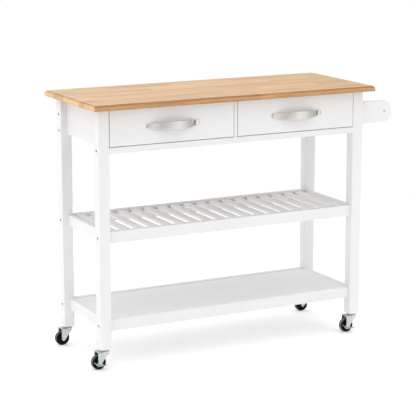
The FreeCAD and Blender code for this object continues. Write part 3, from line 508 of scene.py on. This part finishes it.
def place_piece(name, mesh, body, finish=None, stands_for=()):
    """Puts a finished mesh, which holds its own place, on its body."""
    mesh.name = name
    if finish is not None:
        mesh.materials.clear()
        mesh.materials.append(finish)
    piece = bpy.data.objects.new(name, mesh)
    bpy.context.scene.collection.objects.link(piece)
    if stands_for:
        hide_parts(*stands_for)
    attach(piece, body)
    return piece


def new_recipe(name, **inputs):
    """A Geometry Nodes tree with named inputs, and the sockets that give them."""
    tree = bpy.data.node_groups.new(name, "GeometryNodeTree")
    for label, kind in inputs.items():
        tree.interface.new_socket(label, in_out="INPUT", socket_type=f"NodeSocket{kind}")
    tree.interface.new_socket("Geometry", in_out="OUTPUT", socket_type="NodeSocketGeometry")
    return tree, add(tree, "NodeGroupInput").outputs


def close_recipe(tree, geometry, finish, middle):
    """Moves what the tree made to its middle and ends the tree in one finished mesh."""
    moved = add(
        tree, "GeometryNodeTransform", {"Geometry": geometry, "Translation": middle}
    ).outputs["Geometry"]
    whole = add(tree, "GeometryNodeRealizeInstances", {"Geometry": moved}).outputs["Geometry"]
    dressed = add(
        tree, "GeometryNodeSetMaterial", {"Geometry": whole, "Material": finish}
    ).outputs["Geometry"]
    add(tree, "NodeGroupOutput", {"Geometry": dressed})


def bake_recipe(tree, **values):
    """The plain mesh that a tree makes from the values of its inputs."""
    holder = bpy.data.objects.new("recipe_holder", bpy.data.meshes.new("recipe_holder"))
    bpy.context.scene.collection.objects.link(holder)
    modifier = holder.modifiers.new("recipe", "NODES")
    modifier.node_group = tree
    for item in tree.interface.items_tree:
        if item.in_out == "INPUT":
            modifier[item.identifier] = values[item.name]
    graph = bpy.context.evaluated_depsgraph_get()
    mesh = bpy.data.meshes.new_from_object(
        holder.evaluated_get(graph), preserve_all_data_layers=True, depsgraph=graph
    )
    bpy.data.objects.remove(holder)
    return mesh


def middle_of(node):
    """The middle of a node's box, and its size."""
    low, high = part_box(node)
    return (low + high) / 2, high - low


def smoothed(mesh, angle=35):
    """Shades a mesh smooth across edges flatter than an angle in degrees."""
    mesh.shade_smooth()
    mesh.set_sharp_from_angle(angle=math.radians(angle))
    return mesh


# --------------------------------------------------------------- slatted shelf

SLAT_COUNT = 18
SLAT_PITCH = 51 * MM
SLAT_WIDTH = 28 * MM
SLAT_ROUND = 1.5 * MM
ROUND_STEPS = 4


def slat_recipe():
    """A row of boards with rounded long edges, one pitch apart."""
    tree, given = new_recipe(
        "slat_row",
        Width="Float",
        Thickness="Float",
        Length="Float",
        Round="Float",
        Pitch="Float",
        Count="Int",
        Middle="Vector",
    )
    section = add(
        tree,
        "GeometryNodeCurvePrimitiveQuadrilateral",
        {"Width": given["Width"], "Height": given["Thickness"]},
        mode="RECTANGLE",
    ).outputs["Curve"]
    rounded = add(
        tree,
        "GeometryNodeFilletCurve",
        {"Curve": section, "Count": ROUND_STEPS, "Radius": given["Round"]},
        mode="POLY",
    ).outputs["Curve"]
    half = sums(tree, "MULTIPLY", given["Length"], 0.5)
    back_end = add(tree, "ShaderNodeCombineXYZ", {"Y": half}).outputs["Vector"]
    front_end = add(
        tree, "ShaderNodeCombineXYZ", {"Y": sums(tree, "MULTIPLY", half, -1.0)}
    ).outputs["Vector"]
    path = add(
        tree, "GeometryNodeCurvePrimitiveLine", {"Start": front_end, "End": back_end}
    ).outputs["Curve"]
    slat = add(
        tree,
        "GeometryNodeCurveToMesh",
        {"Curve": path, "Profile Curve": rounded, "Fill Caps": True},
    ).outputs["Mesh"]
    gaps = sums(tree, "SUBTRACT", given["Count"], 1.0)
    first = sums(tree, "MULTIPLY", sums(tree, "MULTIPLY", gaps, given["Pitch"]), -0.5)
    row = add(
        tree,
        "GeometryNodeMeshLine",
        {
            "Count": given["Count"],
            "Start Location": add(tree, "ShaderNodeCombineXYZ", {"X": first}).outputs["Vector"],
            "Offset": add(tree, "ShaderNodeCombineXYZ", {"X": given["Pitch"]}).outputs["Vector"],
        },
    ).outputs["Mesh"]
    slats = add(
        tree, "GeometryNodeInstanceOnPoints", {"Points": row, "Instance": slat}
    ).outputs["Instances"]
    close_recipe(tree, slats, paint_y, given["Middle"])
    return tree


def build_slats():
    """The slatted shelf's row of slats."""
    middle, size = middle_of("shelf_slats")
    mesh = bake_recipe(
        slat_recipe(),
        Width=SLAT_WIDTH,
        Thickness=size.z,
        Length=size.y,
        Round=SLAT_ROUND,
        Pitch=SLAT_PITCH,
        Count=SLAT_COUNT,
        Middle=middle,
    )
    place_piece("slats", smoothed(mesh), "frame", stands_for=["shelf_slats"])


build_slats()


# --------------------------------------------------------------------- handles

FOOT_LENGTH = 16 * MM
FOOT_DEPTH = 5 * MM
FOOT_GROOVE = 1.2 * MM
FOOT_ROUND = 1 * MM
FOOT_FALL = 2.4 * MM
STRAP_END = 18 * MM
STRAP_THICKNESS = 2.5 * MM
REED_COUNT = 9
REED_RADIUS = 1.25 * MM
REED_STANDS = 0.7 * MM
STRAP_STEPS = 56


def bow_radius(half_span, rise):
    """The radius of a bow from half its span and its rise."""
    return (half_span**2 + rise**2) / (2 * rise)


def reed_recipe():
    """Half-round reeds along a bowed strap, closer together towards its ends."""
    tree, given = new_recipe(
        "handle_reeds",
        Half_Span="Float",
        Rise="Float",
        Bow="Float",
        Middle_Height="Float",
        End_Height="Float",
        Radius="Float",
        Count="Int",
        Middle="Vector",
    )
    half = given["Half_Span"]
    right_end = add(tree, "ShaderNodeCombineXYZ", {"X": half}).outputs["Vector"]
    left_end = add(
        tree, "ShaderNodeCombineXYZ", {"X": sums(tree, "MULTIPLY", half, -1.0)}
    ).outputs["Vector"]
    line = add(
        tree, "GeometryNodeCurvePrimitiveLine", {"Start": left_end, "End": right_end}
    ).outputs["Curve"]
    path = add(
        tree, "GeometryNodeResampleCurve", {"Curve": line, "Count": STRAP_STEPS + 1}
    ).outputs["Curve"]
    column = add(
        tree,
        "GeometryNodeMeshLine",
        {"Count": given["Count"], "Start Location": (0, 0, -0.5), "Offset": (0, 0, 0.5)},
        mode="END_POINTS",
    ).outputs["Mesh"]
    paths = add(
        tree, "GeometryNodeInstanceOnPoints", {"Points": column, "Instance": path}
    ).outputs["Instances"]
    flat = add(tree, "GeometryNodeRealizeInstances", {"Geometry": paths}).outputs["Geometry"]

    position = add(tree, "GeometryNodeInputPosition").outputs["Position"]
    here = add(tree, "ShaderNodeSeparateXYZ", {"Vector": position})
    x_squared = sums(tree, "MULTIPLY", here.outputs["X"], here.outputs["X"])
    bow_squared = sums(tree, "MULTIPLY", given["Bow"], given["Bow"])
    reach = sums(tree, "SQRT", sums(tree, "SUBTRACT", bow_squared, x_squared))
    chord = sums(tree, "SUBTRACT", given["Bow"], given["Rise"])
    outward = sums(tree, "SUBTRACT", chord, reach)
    share = sums(tree, "DIVIDE", x_squared, sums(tree, "MULTIPLY", half, half))
    taper = sums(tree, "SUBTRACT", given["Middle_Height"], given["End_Height"])
    height = sums(
        tree, "SUBTRACT", given["Middle_Height"], sums(tree, "MULTIPLY", taper, share)
    )
    bowed = add(
        tree,
        "ShaderNodeCombineXYZ",
        {
            "X": here.outputs["X"],
            "Y": outward,
            "Z": sums(tree, "MULTIPLY", here.outputs["Z"], height),
        },
    ).outputs["Vector"]
    curves = add(
        tree, "GeometryNodeSetPosition", {"Geometry": flat, "Position": bowed}
    ).outputs["Geometry"]
    section = add(
        tree, "GeometryNodeCurvePrimitiveCircle", {"Resolution": 10, "Radius": given["Radius"]}
    ).outputs["Curve"]
    reeds = add(
        tree,
        "GeometryNodeCurveToMesh",
        {"Curve": curves, "Profile Curve": section, "Fill Caps": True},
    ).outputs["Mesh"]
    close_recipe(tree, reeds, nickel, given["Middle"])
    return tree


def strap_mesh(middle, front, half_span, rise, tall, end_tall):
    """The plate behind the reeds: a bowed strap with rounded long edges."""
    bow = bow_radius(half_span, rise)
    swing = math.asin(half_span / bow)
    edge = STRAP_THICKNESS / 2
    shape = bmesh.new()
    rings = []
    for step in range(STRAP_STEPS + 1):
        turn = swing * (2 * step / STRAP_STEPS - 1)
        x = bow * math.sin(turn)
        half_tall = (tall - (tall - end_tall) * (x / half_span) ** 2) / 2
        ring = []
        for side in (1, -1):
            for corner in range(5):
                bend = math.pi * corner / 4
                out = edge * math.cos(bend) * side
                up = side * (half_tall - edge + edge * math.sin(bend))
                radius = bow - edge + out
                place = (
                    middle.x + radius * math.sin(turn),
                    front - rise + bow - radius * math.cos(turn),
                    middle.z + up,
                )
                ring.append(shape.verts.new(place))
        rings.append(ring)
    for one, other in zip(rings, rings[1:]):
        for index in range(len(one)):
            after = (index + 1) % len(one)
            shape.faces.new((one[index], one[after], other[after], other[index]))
    shape.faces.new(rings[0])
    shape.faces.new(reversed(rings[-1]))
    return finish_shape(shape)


def finish_shape(shape, name="piece"):
    """A mesh from a bmesh, with its faces turned outwards."""
    bmesh.ops.recalc_face_normals(shape, faces=shape.faces)
    mesh = bpy.data.meshes.new(name)
    shape.to_mesh(mesh)
    shape.free()
    return mesh


def joined(meshes):
    """One mesh from several."""
    shape = bmesh.new()
    for mesh in meshes:
        shape.from_mesh(mesh)
    mesh = bpy.data.meshes.new("joined")
    shape.to_mesh(mesh)
    shape.free()
    return mesh


def slab(outline, thickness, to_place, edge_round, segments=3, slope=0.0):
    """A plate with rounded edges: an outline of (a, b) points, put in place by a matrix.

    With a slope it gets thinner away from a = 0.
    """
    shape = bmesh.new()
    face = shape.faces.new([shape.verts.new((a, b, 0)) for a, b in outline])
    raised = bmesh.ops.extrude_face_region(shape, geom=[face])["geom"]
    tops = [item for item in raised if isinstance(item, bmesh.types.BMVert)]
    for top in tops:
        top.co.z = thickness - slope * abs(top.co.x)
    bmesh.ops.recalc_face_normals(shape, faces=shape.faces)
    rims = [
        edge
        for edge in shape.edges
        if abs(edge.verts[0].co.z - edge.verts[1].co.z) < thickness / 2
    ]
    bmesh.ops.bevel(
        shape,
        geom=rims,
        offset=edge_round,
        segments=segments,
        profile=0.5,
        affect="EDGES",
        clamp_overlap=True,
    )
    bmesh.ops.transform(shape, matrix=to_place, verts=shape.verts)
    return finish_shape(shape)


FACING_FRONT = Matrix(((1, 0, 0, 0), (0, 0, -1, 0), (0, 1, 0, 0), (0, 0, 0, 1)))


def foot_outline(sign):
    """A foot's face: square towards the strap and round at its outer end."""
    tall = STRAP_END / 2
    inner = FOOT_GROOVE
    centre = FOOT_LENGTH - tall
    points = [(inner, -tall), (centre, -tall)]
    points += [
        (centre + tall * math.cos(bend), tall * math.sin(bend))
        for bend in (math.radians(angle) for angle in range(-75, 90, 15))
    ]
    points += [(centre, tall), (inner, tall)]
    return [(sign * a, b) for a, b in points]


def build_handle(side):
    """A bow handle: strap and feet in one piece, and the reeds on its face."""
    node = f"drawer_{side}_handle"
    middle, size = middle_of(node)
    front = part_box(node)[1].y
    half_span = size.x / 2 - FOOT_LENGTH
    rise = size.y - REED_STANDS
    meshes = [strap_mesh(middle, front, half_span, rise, size.z, STRAP_END)]
    for sign in (-1, 1):
        place = Matrix.Translation((middle.x + sign * half_span, front, middle.z))
        meshes.append(
            slab(
                foot_outline(sign),
                FOOT_DEPTH,
                place @ FACING_FRONT,
                FOOT_ROUND,
                slope=FOOT_FALL / FOOT_LENGTH,
            )
        )
    plain = smoothed(joined(meshes))
    place_piece(f"handle_strap_{side}", plain, f"drawer_{side}", nickel, [node])
    spread = 1 - 1 / REED_COUNT
    reeds = bake_recipe(
        reeds_tree,
        Half_Span=half_span - REED_RADIUS,
        Rise=rise,
        Bow=bow_radius(half_span, rise),
        Middle_Height=size.z * spread,
        End_Height=STRAP_END * spread,
        Radius=REED_RADIUS,
        Count=REED_COUNT,
        Middle=Vector((middle.x, front + REED_RADIUS - REED_STANDS, middle.z)),
    )
    place_piece(f"handle_reeds_{side}", smoothed(reeds, 60), f"drawer_{side}")


reeds_tree = reed_recipe()
for side in SIDES:
    build_handle(side)


# --------------------------------------------------------------------- casters

TREAD_DEPTH = 4.5 * MM
TREAD_ROUND = 3.2 * MM
DISH = 3 * MM
HUB = 8 * MM
RIM = 6 * MM
BORE = 3.05 * MM
SPIN_STEPS = 72
SPOKES = 10
SPOKE_THICKNESS = 1.4 * MM


def spun(outline, centre, steps=SPIN_STEPS):
    """A ring: a closed outline of (radius, along) points turned about a line along Y."""
    shape = bmesh.new()
    rings = []
    for step in range(steps):
        turn = 2 * math.pi * step / steps
        rings.append(
            [
                shape.verts.new(
                    (
                        centre.x + radius * math.cos(turn),
                        centre.y + along,
                        centre.z + radius * math.sin(turn),
                    )
                )
                for radius, along in outline
            ]
        )
    for one, other in zip(rings, rings[1:] + rings[:1]):
        for index in range(len(one)):
            after = (index + 1) % len(one)
            shape.faces.new((one[index], one[after], other[after], other[index]))
    return finish_shape(shape)


def mirrored(half_outline):
    """A closed outline from its half on one side of the middle, outer radius first."""
    return half_outline + [(radius, -along) for radius, along in reversed(half_outline)]


def tread_outline(radius, half_width):
    """Half of the tread: a slight crown, a round shoulder and a bead against the core."""
    shoulder = half_width - 0.6 * MM
    rounding = [
        (
            radius - 0.25 * MM - TREAD_ROUND * (1 - math.cos(turn)),
            shoulder - TREAD_ROUND * (1 - math.sin(turn)),
        )
        for turn in (math.radians(angle) for angle in range(0, 91, 15))
    ]
    bead = radius - TREAD_DEPTH
    return [
        (radius - 0.5 * MM, 0.25 * MM),
        (radius, 0.7 * MM),
        (radius, 2.0 * MM),
        *rounding,
        (bead + 0.8 * MM, shoulder),
        (bead, shoulder - 0.8 * MM),
        (bead, 0.5 * MM),
    ]


def core_outline(radius, half_width):
    """Half of the core: a rim, a sunk ring, a hub with a chamfer and the bore."""
    rim_outside = radius - TREAD_DEPTH + 0.05 * MM
    rim_inside = radius - RIM - 1.5 * MM
    sunk = half_width - DISH
    return [
        (rim_outside, 0.3 * MM),
        (rim_outside, half_width - 0.9 * MM),
        (rim_outside - 0.5 * MM, half_width - 0.4 * MM),
        (rim_inside + 0.6 * MM, half_width - 0.4 * MM),
        (rim_inside, half_width - 1.0 * MM),
        (rim_inside - 0.6 * MM, sunk + 0.3 * MM),
        (rim_inside - 1.2 * MM, sunk),
        (HUB + 1.2 * MM, sunk),
        (HUB + 0.3 * MM, sunk + 0.6 * MM),
        (HUB, half_width - 0.8 * MM),
        (HUB - 0.8 * MM, half_width),
        (BORE + 0.6 * MM, half_width),
        (BORE, half_width - 0.6 * MM),
        (BORE, 0.3 * MM),
    ]


def spoke_recipe():
    """Flat ribs standing in a ring, pointing out from the middle."""
    tree, given = new_recipe(
        "wheel_spokes",
        Count="Int",
        Inside="Float",
        Outside="Float",
        Thickness="Float",
        Width="Float",
        Middle="Vector",
    )
    reach = sums(tree, "SUBTRACT", given["Outside"], given["Inside"])
    halfway = sums(tree, "MULTIPLY", sums(tree, "ADD", given["Outside"], given["Inside"]), 0.5)
    ring = add(
        tree, "GeometryNodeMeshCircle", {"Vertices": given["Count"], "Radius": halfway}
    ).outputs["Mesh"]
    size = add(
        tree,
        "ShaderNodeCombineXYZ",
        {"X": reach, "Y": given["Thickness"], "Z": given["Width"]},
    ).outputs["Vector"]
    rib = add(tree, "GeometryNodeMeshCube", {"Size": size}).outputs["Mesh"]
    index = add(tree, "GeometryNodeInputIndex").outputs["Index"]
    step = sums(tree, "DIVIDE", 2 * math.pi, given["Count"])
    turn = add(
        tree, "ShaderNodeCombineXYZ", {"Z": sums(tree, "MULTIPLY", index, step)}
    ).outputs["Vector"]
    ribs = add(
        tree,
        "GeometryNodeInstanceOnPoints",
        {"Points": ring, "Instance": rib, "Rotation": turn},
    ).outputs["Instances"]
    stood = add(
        tree, "GeometryNodeTransform", {"Geometry": ribs, "Rotation": (math.pi / 2, 0, 0)}
    ).outputs["Geometry"]
    close_recipe(tree, stood, core_black, given["Middle"])
    return tree


def build_wheel(corner):
    """A wheel in three pieces: tread, core and the ribs between hub and rim."""
    node = f"caster_wheel_{corner}"
    centre, size = middle_of(node)
    radius, half_width = size.z / 2, size.y / 2
    body = f"wheel_{corner}"
    tread = spun(mirrored(tread_outline(radius, half_width)), centre)
    place_piece(f"tread_{corner}", smoothed(tread), body, tread_black, [node])
    core = spun(mirrored(core_outline(radius, half_width)), centre)
    place_piece(f"wheel_core_{corner}", smoothed(core), body, core_black, [node])
    spokes = bake_recipe(
        spokes_tree,
        Count=SPOKES,
        Inside=HUB - 0.5 * MM,
        Outside=radius - RIM - 1.0 * MM,
        Thickness=SPOKE_THICKNESS,
        Width=size.y - 2.4 * MM,
        Middle=centre,
    )
    place_piece(f"wheel_spokes_{corner}", spokes, body)


FORK_PLATE = 1.8 * MM
FORK_EYE = 7 * MM
CHEEK_CORNER = 3 * MM
CHEEK_CUT = 1.2 * MM
CHEEK_BACK_CUT = 1.5 * MM
CROWN_LIP = 1.5 * MM
CROWN_STEP_IN = 3.2 * MM
RACE_IN = 5 * MM
RACE_ROUND = 1 * MM
BRIDGE_IN = 0.4 * MM
CROWN_HEIGHT = 5 * MM
KINGPIN_BORE = 4.55 * MM
PRESSED_EDGE = 0.5 * MM
AXLE_RADIUS = 3 * MM
AXLE_HEAD = 4.4 * MM
AXLE_HEAD_DEEP = 3 * MM
AXLE_DOME = 2 * MM
BRAKE_PLATE = 1.6 * MM
BRAKE_RISE = 3.4 * MM
BRAKE_BEND = 10.2 * MM
BRAKE_WEB_TOP = 6.75 * MM
BRAKE_WEB_FOOT = 15 * MM
BRAKE_WEB_DROP = 2.25 * MM
BRAKE_TIP_CUT = 0.8 * MM
BRAKE_BEND_CUT = 0.7 * MM


def arc(centre, radius, first, last, steps=8):
    """Points on an arc between two angles in degrees."""
    return [
        (centre[0] + radius * math.cos(turn), centre[1] + radius * math.sin(turn))
        for turn in (
            math.radians(first + (last - first) * step / steps) for step in range(steps + 1)
        )
    ]


def turned_upright(outline, centre, steps=SPIN_STEPS):
    """A ring: a closed outline of (radius, height) points turned about an upright line."""
    lying = spun(outline, Vector((0, 0, 0)), steps)
    upright = Matrix(((1, 0, 0, centre.x), (0, 0, -1, centre.y), (0, 1, 0, centre.z), (0, 0, 0, 1)))
    lying.transform(upright)
    return lying


def cheek_outline(top, reach, crown):
    """A fork cheek round the axle: straight at its back, sloping up to the crown at its front."""
    shoulder = reach + crown * 0.5
    return [
        *arc((0, 0), FORK_EYE, 180, 318, 10),
        (reach - 1 * MM, top - crown * 0.98),
        *arc((shoulder - CHEEK_CORNER, top - FORK_PLATE - 4 * MM), CHEEK_CORNER, -35, 0, 3),
        (shoulder, top - CHEEK_CUT),
        (shoulder - CHEEK_CUT, top),
        (CHEEK_BACK_CUT - FORK_EYE, top),
        (-FORK_EYE, top - CHEEK_BACK_CUT),
    ]


def crown_outline(crown):
    """The fork's round top: a pressed saucer with a raised race and a turned-down lip."""
    return [
        (KINGPIN_BORE, 0),
        (crown - 1 * MM, 0),
        *arc((crown - CROWN_LIP, CROWN_LIP), CROWN_LIP, -90, 90, 8),
        (crown - CROWN_STEP_IN, CROWN_STEP_IN),
        *arc((crown - RACE_IN, CROWN_HEIGHT - RACE_ROUND), RACE_ROUND, 20, 90, 4),
        (KINGPIN_BORE + RACE_ROUND, CROWN_HEIGHT),
        (KINGPIN_BORE, CROWN_HEIGHT - RACE_ROUND),
    ]


def build_fork(corner):
    """A pressed fork: two cheeks, a bridge at their back and a round crown."""
    low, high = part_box(f"caster_fork_{corner}")
    wheel, wheel_size = middle_of(f"caster_wheel_{corner}")
    pivot, _ = middle_of(f"leg_{corner}")
    reach = pivot.x - wheel.x
    crown = high.x - pivot.x
    crown_floor = high.z - CROWN_HEIGHT
    top = crown_floor + FORK_PLATE - wheel.z
    meshes = []
    for face in (low.y + FORK_PLATE, high.y):
        place = Matrix.Translation((wheel.x, face, wheel.z)) @ FACING_FRONT
        meshes.append(slab(cheek_outline(top, reach, crown), FORK_PLATE, place, PRESSED_EDGE))
    half = (high.y - low.y) / 2
    bridge = [
        (low.x, wheel.y - half + BRIDGE_IN),
        (pivot.x, wheel.y - half + BRIDGE_IN),
        (pivot.x, wheel.y + half - BRIDGE_IN),
        (low.x, wheel.y + half - BRIDGE_IN),
    ]
    floor = Matrix.Translation((0, 0, crown_floor))
    meshes.append(slab(bridge, FORK_PLATE, floor, PRESSED_EDGE))
    crown_middle = Vector((pivot.x, pivot.y, crown_floor))
    meshes.append(turned_upright(crown_outline(crown), crown_middle, 64))
    piece = smoothed(joined(meshes))
    node = f"caster_fork_{corner}"
    place_piece(f"fork_{corner}", piece, f"caster_{corner}", zinc, [node])


def build_axle(corner):
    """A riveted pin, its heads domed."""
    node = f"caster_axle_{corner}"
    low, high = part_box(node)
    middle = (low + high) / 2
    half = (high.y - low.y) / 2
    dome = [
        (AXLE_HEAD * math.cos(turn), half - AXLE_DOME + AXLE_DOME * math.sin(turn))
        for turn in (math.radians(angle) for angle in range(0, 90, 12))
    ]
    half_outline = [
        (AXLE_RADIUS, 0.2 * MM),
        (AXLE_RADIUS, half - AXLE_HEAD_DEEP),
        (AXLE_HEAD, half - AXLE_HEAD_DEEP),
        *dome,
        (0.02 * MM, half),
    ]
    outline = list(reversed(mirrored(half_outline)))
    pin = smoothed(spun(outline, middle, 40))
    place_piece(f"axle_{corner}", pin, f"caster_{corner}", zinc, [node])


def build_rocker(side):
    """A pressed brake rocker: a V of strip bent out from an eye on the axle."""
    node = f"brake_rocker_{side}"
    low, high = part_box(node)
    axle, _ = middle_of(f"caster_wheel_front_{side}")
    eye_radius = high.z - axle.z
    drop = axle.z - low.z
    behind = axle.x - low.x
    ahead = high.x - axle.x
    level = BRAKE_PLATE - drop
    slant = BRAKE_PLATE * math.sin(math.radians(45))
    strip = [
        (-behind, BRAKE_RISE),
        (-BRAKE_BEND - BRAKE_BEND_CUT, BRAKE_BEND_CUT - drop),
        (-BRAKE_BEND + 1 * MM, -drop),
        (ahead - BRAKE_TIP_CUT, -drop),
        (ahead, BRAKE_TIP_CUT - drop),
        (ahead - 0.4 * MM, level),
        (-BRAKE_BEND + BRAKE_PLATE, level),
        (-BRAKE_BEND + BRAKE_PLATE / 2 - 0.6 * MM, level + BRAKE_BEND_CUT),
        (-behind + slant, BRAKE_RISE + slant),
    ]
    back = Matrix.Translation((axle.x, high.y, axle.z)) @ FACING_FRONT
    meshes = [slab(strip, high.y - low.y, back, PRESSED_EDGE)]
    web = [
        *arc((0, 0), eye_radius, -20, 197, 20),
        (-behind + BRAKE_RISE + BRAKE_WEB_DROP, -BRAKE_WEB_DROP),
        (-BRAKE_BEND + BRAKE_PLATE / 2, level - BRAKE_PLATE / 2),
        (BRAKE_WEB_FOOT, level - BRAKE_PLATE / 2),
        (BRAKE_WEB_TOP + 1 * MM, -BRAKE_WEB_DROP - 1 * MM),
    ]
    meshes.append(slab(web, BRAKE_PLATE, back, PRESSED_EDGE / 2))
    piece = smoothed(joined(meshes))
    place_piece(f"rocker_{side}", piece, f"brake_{side}", zinc, [node])


spokes_tree = spoke_recipe()
for corner in CORNERS:
    build_wheel(corner)
    build_fork(corner)
    build_axle(corner)
for side in SIDES:
    build_rocker(side)


# ------------------------------------------------------------ studio and camera


ROOM_LIGHT = 1.36
FLOOR_RADIUS = 2.4
SOFTBOXES = [
    (0.0, "#FFFFFF"),
    (0.22, "#DCDCDC"),
    (0.28, "#FFFFFF"),
    (0.4, "#FFFFFF"),
    (0.45, "#A0A0A0"),
    (0.5, "#BEBEBE"),
    (0.57, "#EEEEEE"),
    (0.62, "#EEEEEE"),
    (0.66, "#CCCCCC"),
    (0.8, "#C4C4C4"),
    (0.9, "#A8A8A8"),
    (0.97, "#FFFFFF"),
]


def build_studio():
    """A round white floor, and a white room with brighter and dimmer stretches."""
    mesh = bpy.data.meshes.new("studio_floor")
    disc = bmesh.new()
    bmesh.ops.create_circle(disc, cap_ends=True, segments=96, radius=FLOOR_RADIUS)
    disc.to_mesh(mesh)
    disc.free()
    mesh.materials.append(matt_floor())
    floor = bpy.data.objects.new("studio_floor", mesh)
    bpy.context.scene.collection.objects.link(floor)

    world = bpy.data.worlds.new("white_studio")
    world.use_nodes = True
    tree = world.node_tree
    tree.nodes.clear()
    toward = add(
        tree,
        "ShaderNodeSeparateXYZ",
        {"Vector": add(tree, "ShaderNodeTexCoord").outputs["Generated"]},
    ).outputs
    # 0 and 1 are straight behind the cart, 0.25 its left, 0.5 its front, 0.75 its right
    bearing = sums(tree, "ARCTAN2", toward["X"], sums(tree, "MULTIPLY", toward["Y"], -1.0))
    round_the_cart = sums(
        tree, "ADD", sums(tree, "DIVIDE", bearing, 2 * math.pi), 0.5
    )
    walls = ramp(tree, round_the_cart, SOFTBOXES)
    overhead = add(
        tree, "ShaderNodeMapRange", {"Value": toward["Z"], "From Min": 0.5, "From Max": 0.85}
    ).outputs["Result"]
    room = mixed(tree, overhead, walls, linear("#FFFFFF"))
    lit = add(tree, "ShaderNodeBackground", {"Color": room, "Strength": ROOM_LIGHT})
    backdrop = add(tree, "ShaderNodeBackground", {"Color": linear("#FFFFFF"), "Strength": 1.0})
    seen = add(tree, "ShaderNodeLightPath").outputs["Is Camera Ray"]
    both = add(tree, "ShaderNodeMixShader", {0: seen, 1: lit.outputs[0], 2: backdrop.outputs[0]})
    add(tree, "ShaderNodeOutputWorld", {"Surface": both.outputs[0]})
    bpy.context.scene.world = world


def soft_light(name, place, target, size, watts):
    """A square area light at a place, facing a target."""
    light = bpy.data.lights.new(name, "AREA")
    light.energy = watts
    light.size = size
    made = bpy.data.objects.new(name, light)
    made.location = place
    made.rotation_euler = (Vector(target) - Vector(place)).to_track_quat("-Z", "Y").to_euler()
    bpy.context.scene.collection.objects.link(made)


def build_camera():
    """A long lens from the front left, a little above the worktop."""
    lens = bpy.data.cameras.new("studio_camera")
    lens.sensor_width = 36
    lens.lens = 139.74
    lens.clip_end = 200
    camera = bpy.data.objects.new("studio_camera", lens)
    camera.location = (-2.5834, -4.8629, 1.6313)
    camera.rotation_euler = (math.radians(78.0), 0, math.radians(-27.41))
    bpy.context.scene.collection.objects.link(camera)
    bpy.context.scene.camera = camera


build_studio()
soft_light("low_front_softbox", (2.0, -2.4, 0.4), (0, 0, 0.7), 2.4, 4)
build_camera()
bpy.context.scene.view_settings.view_transform = "Standard"
bpy.context.scene.view_settings.look = "None"
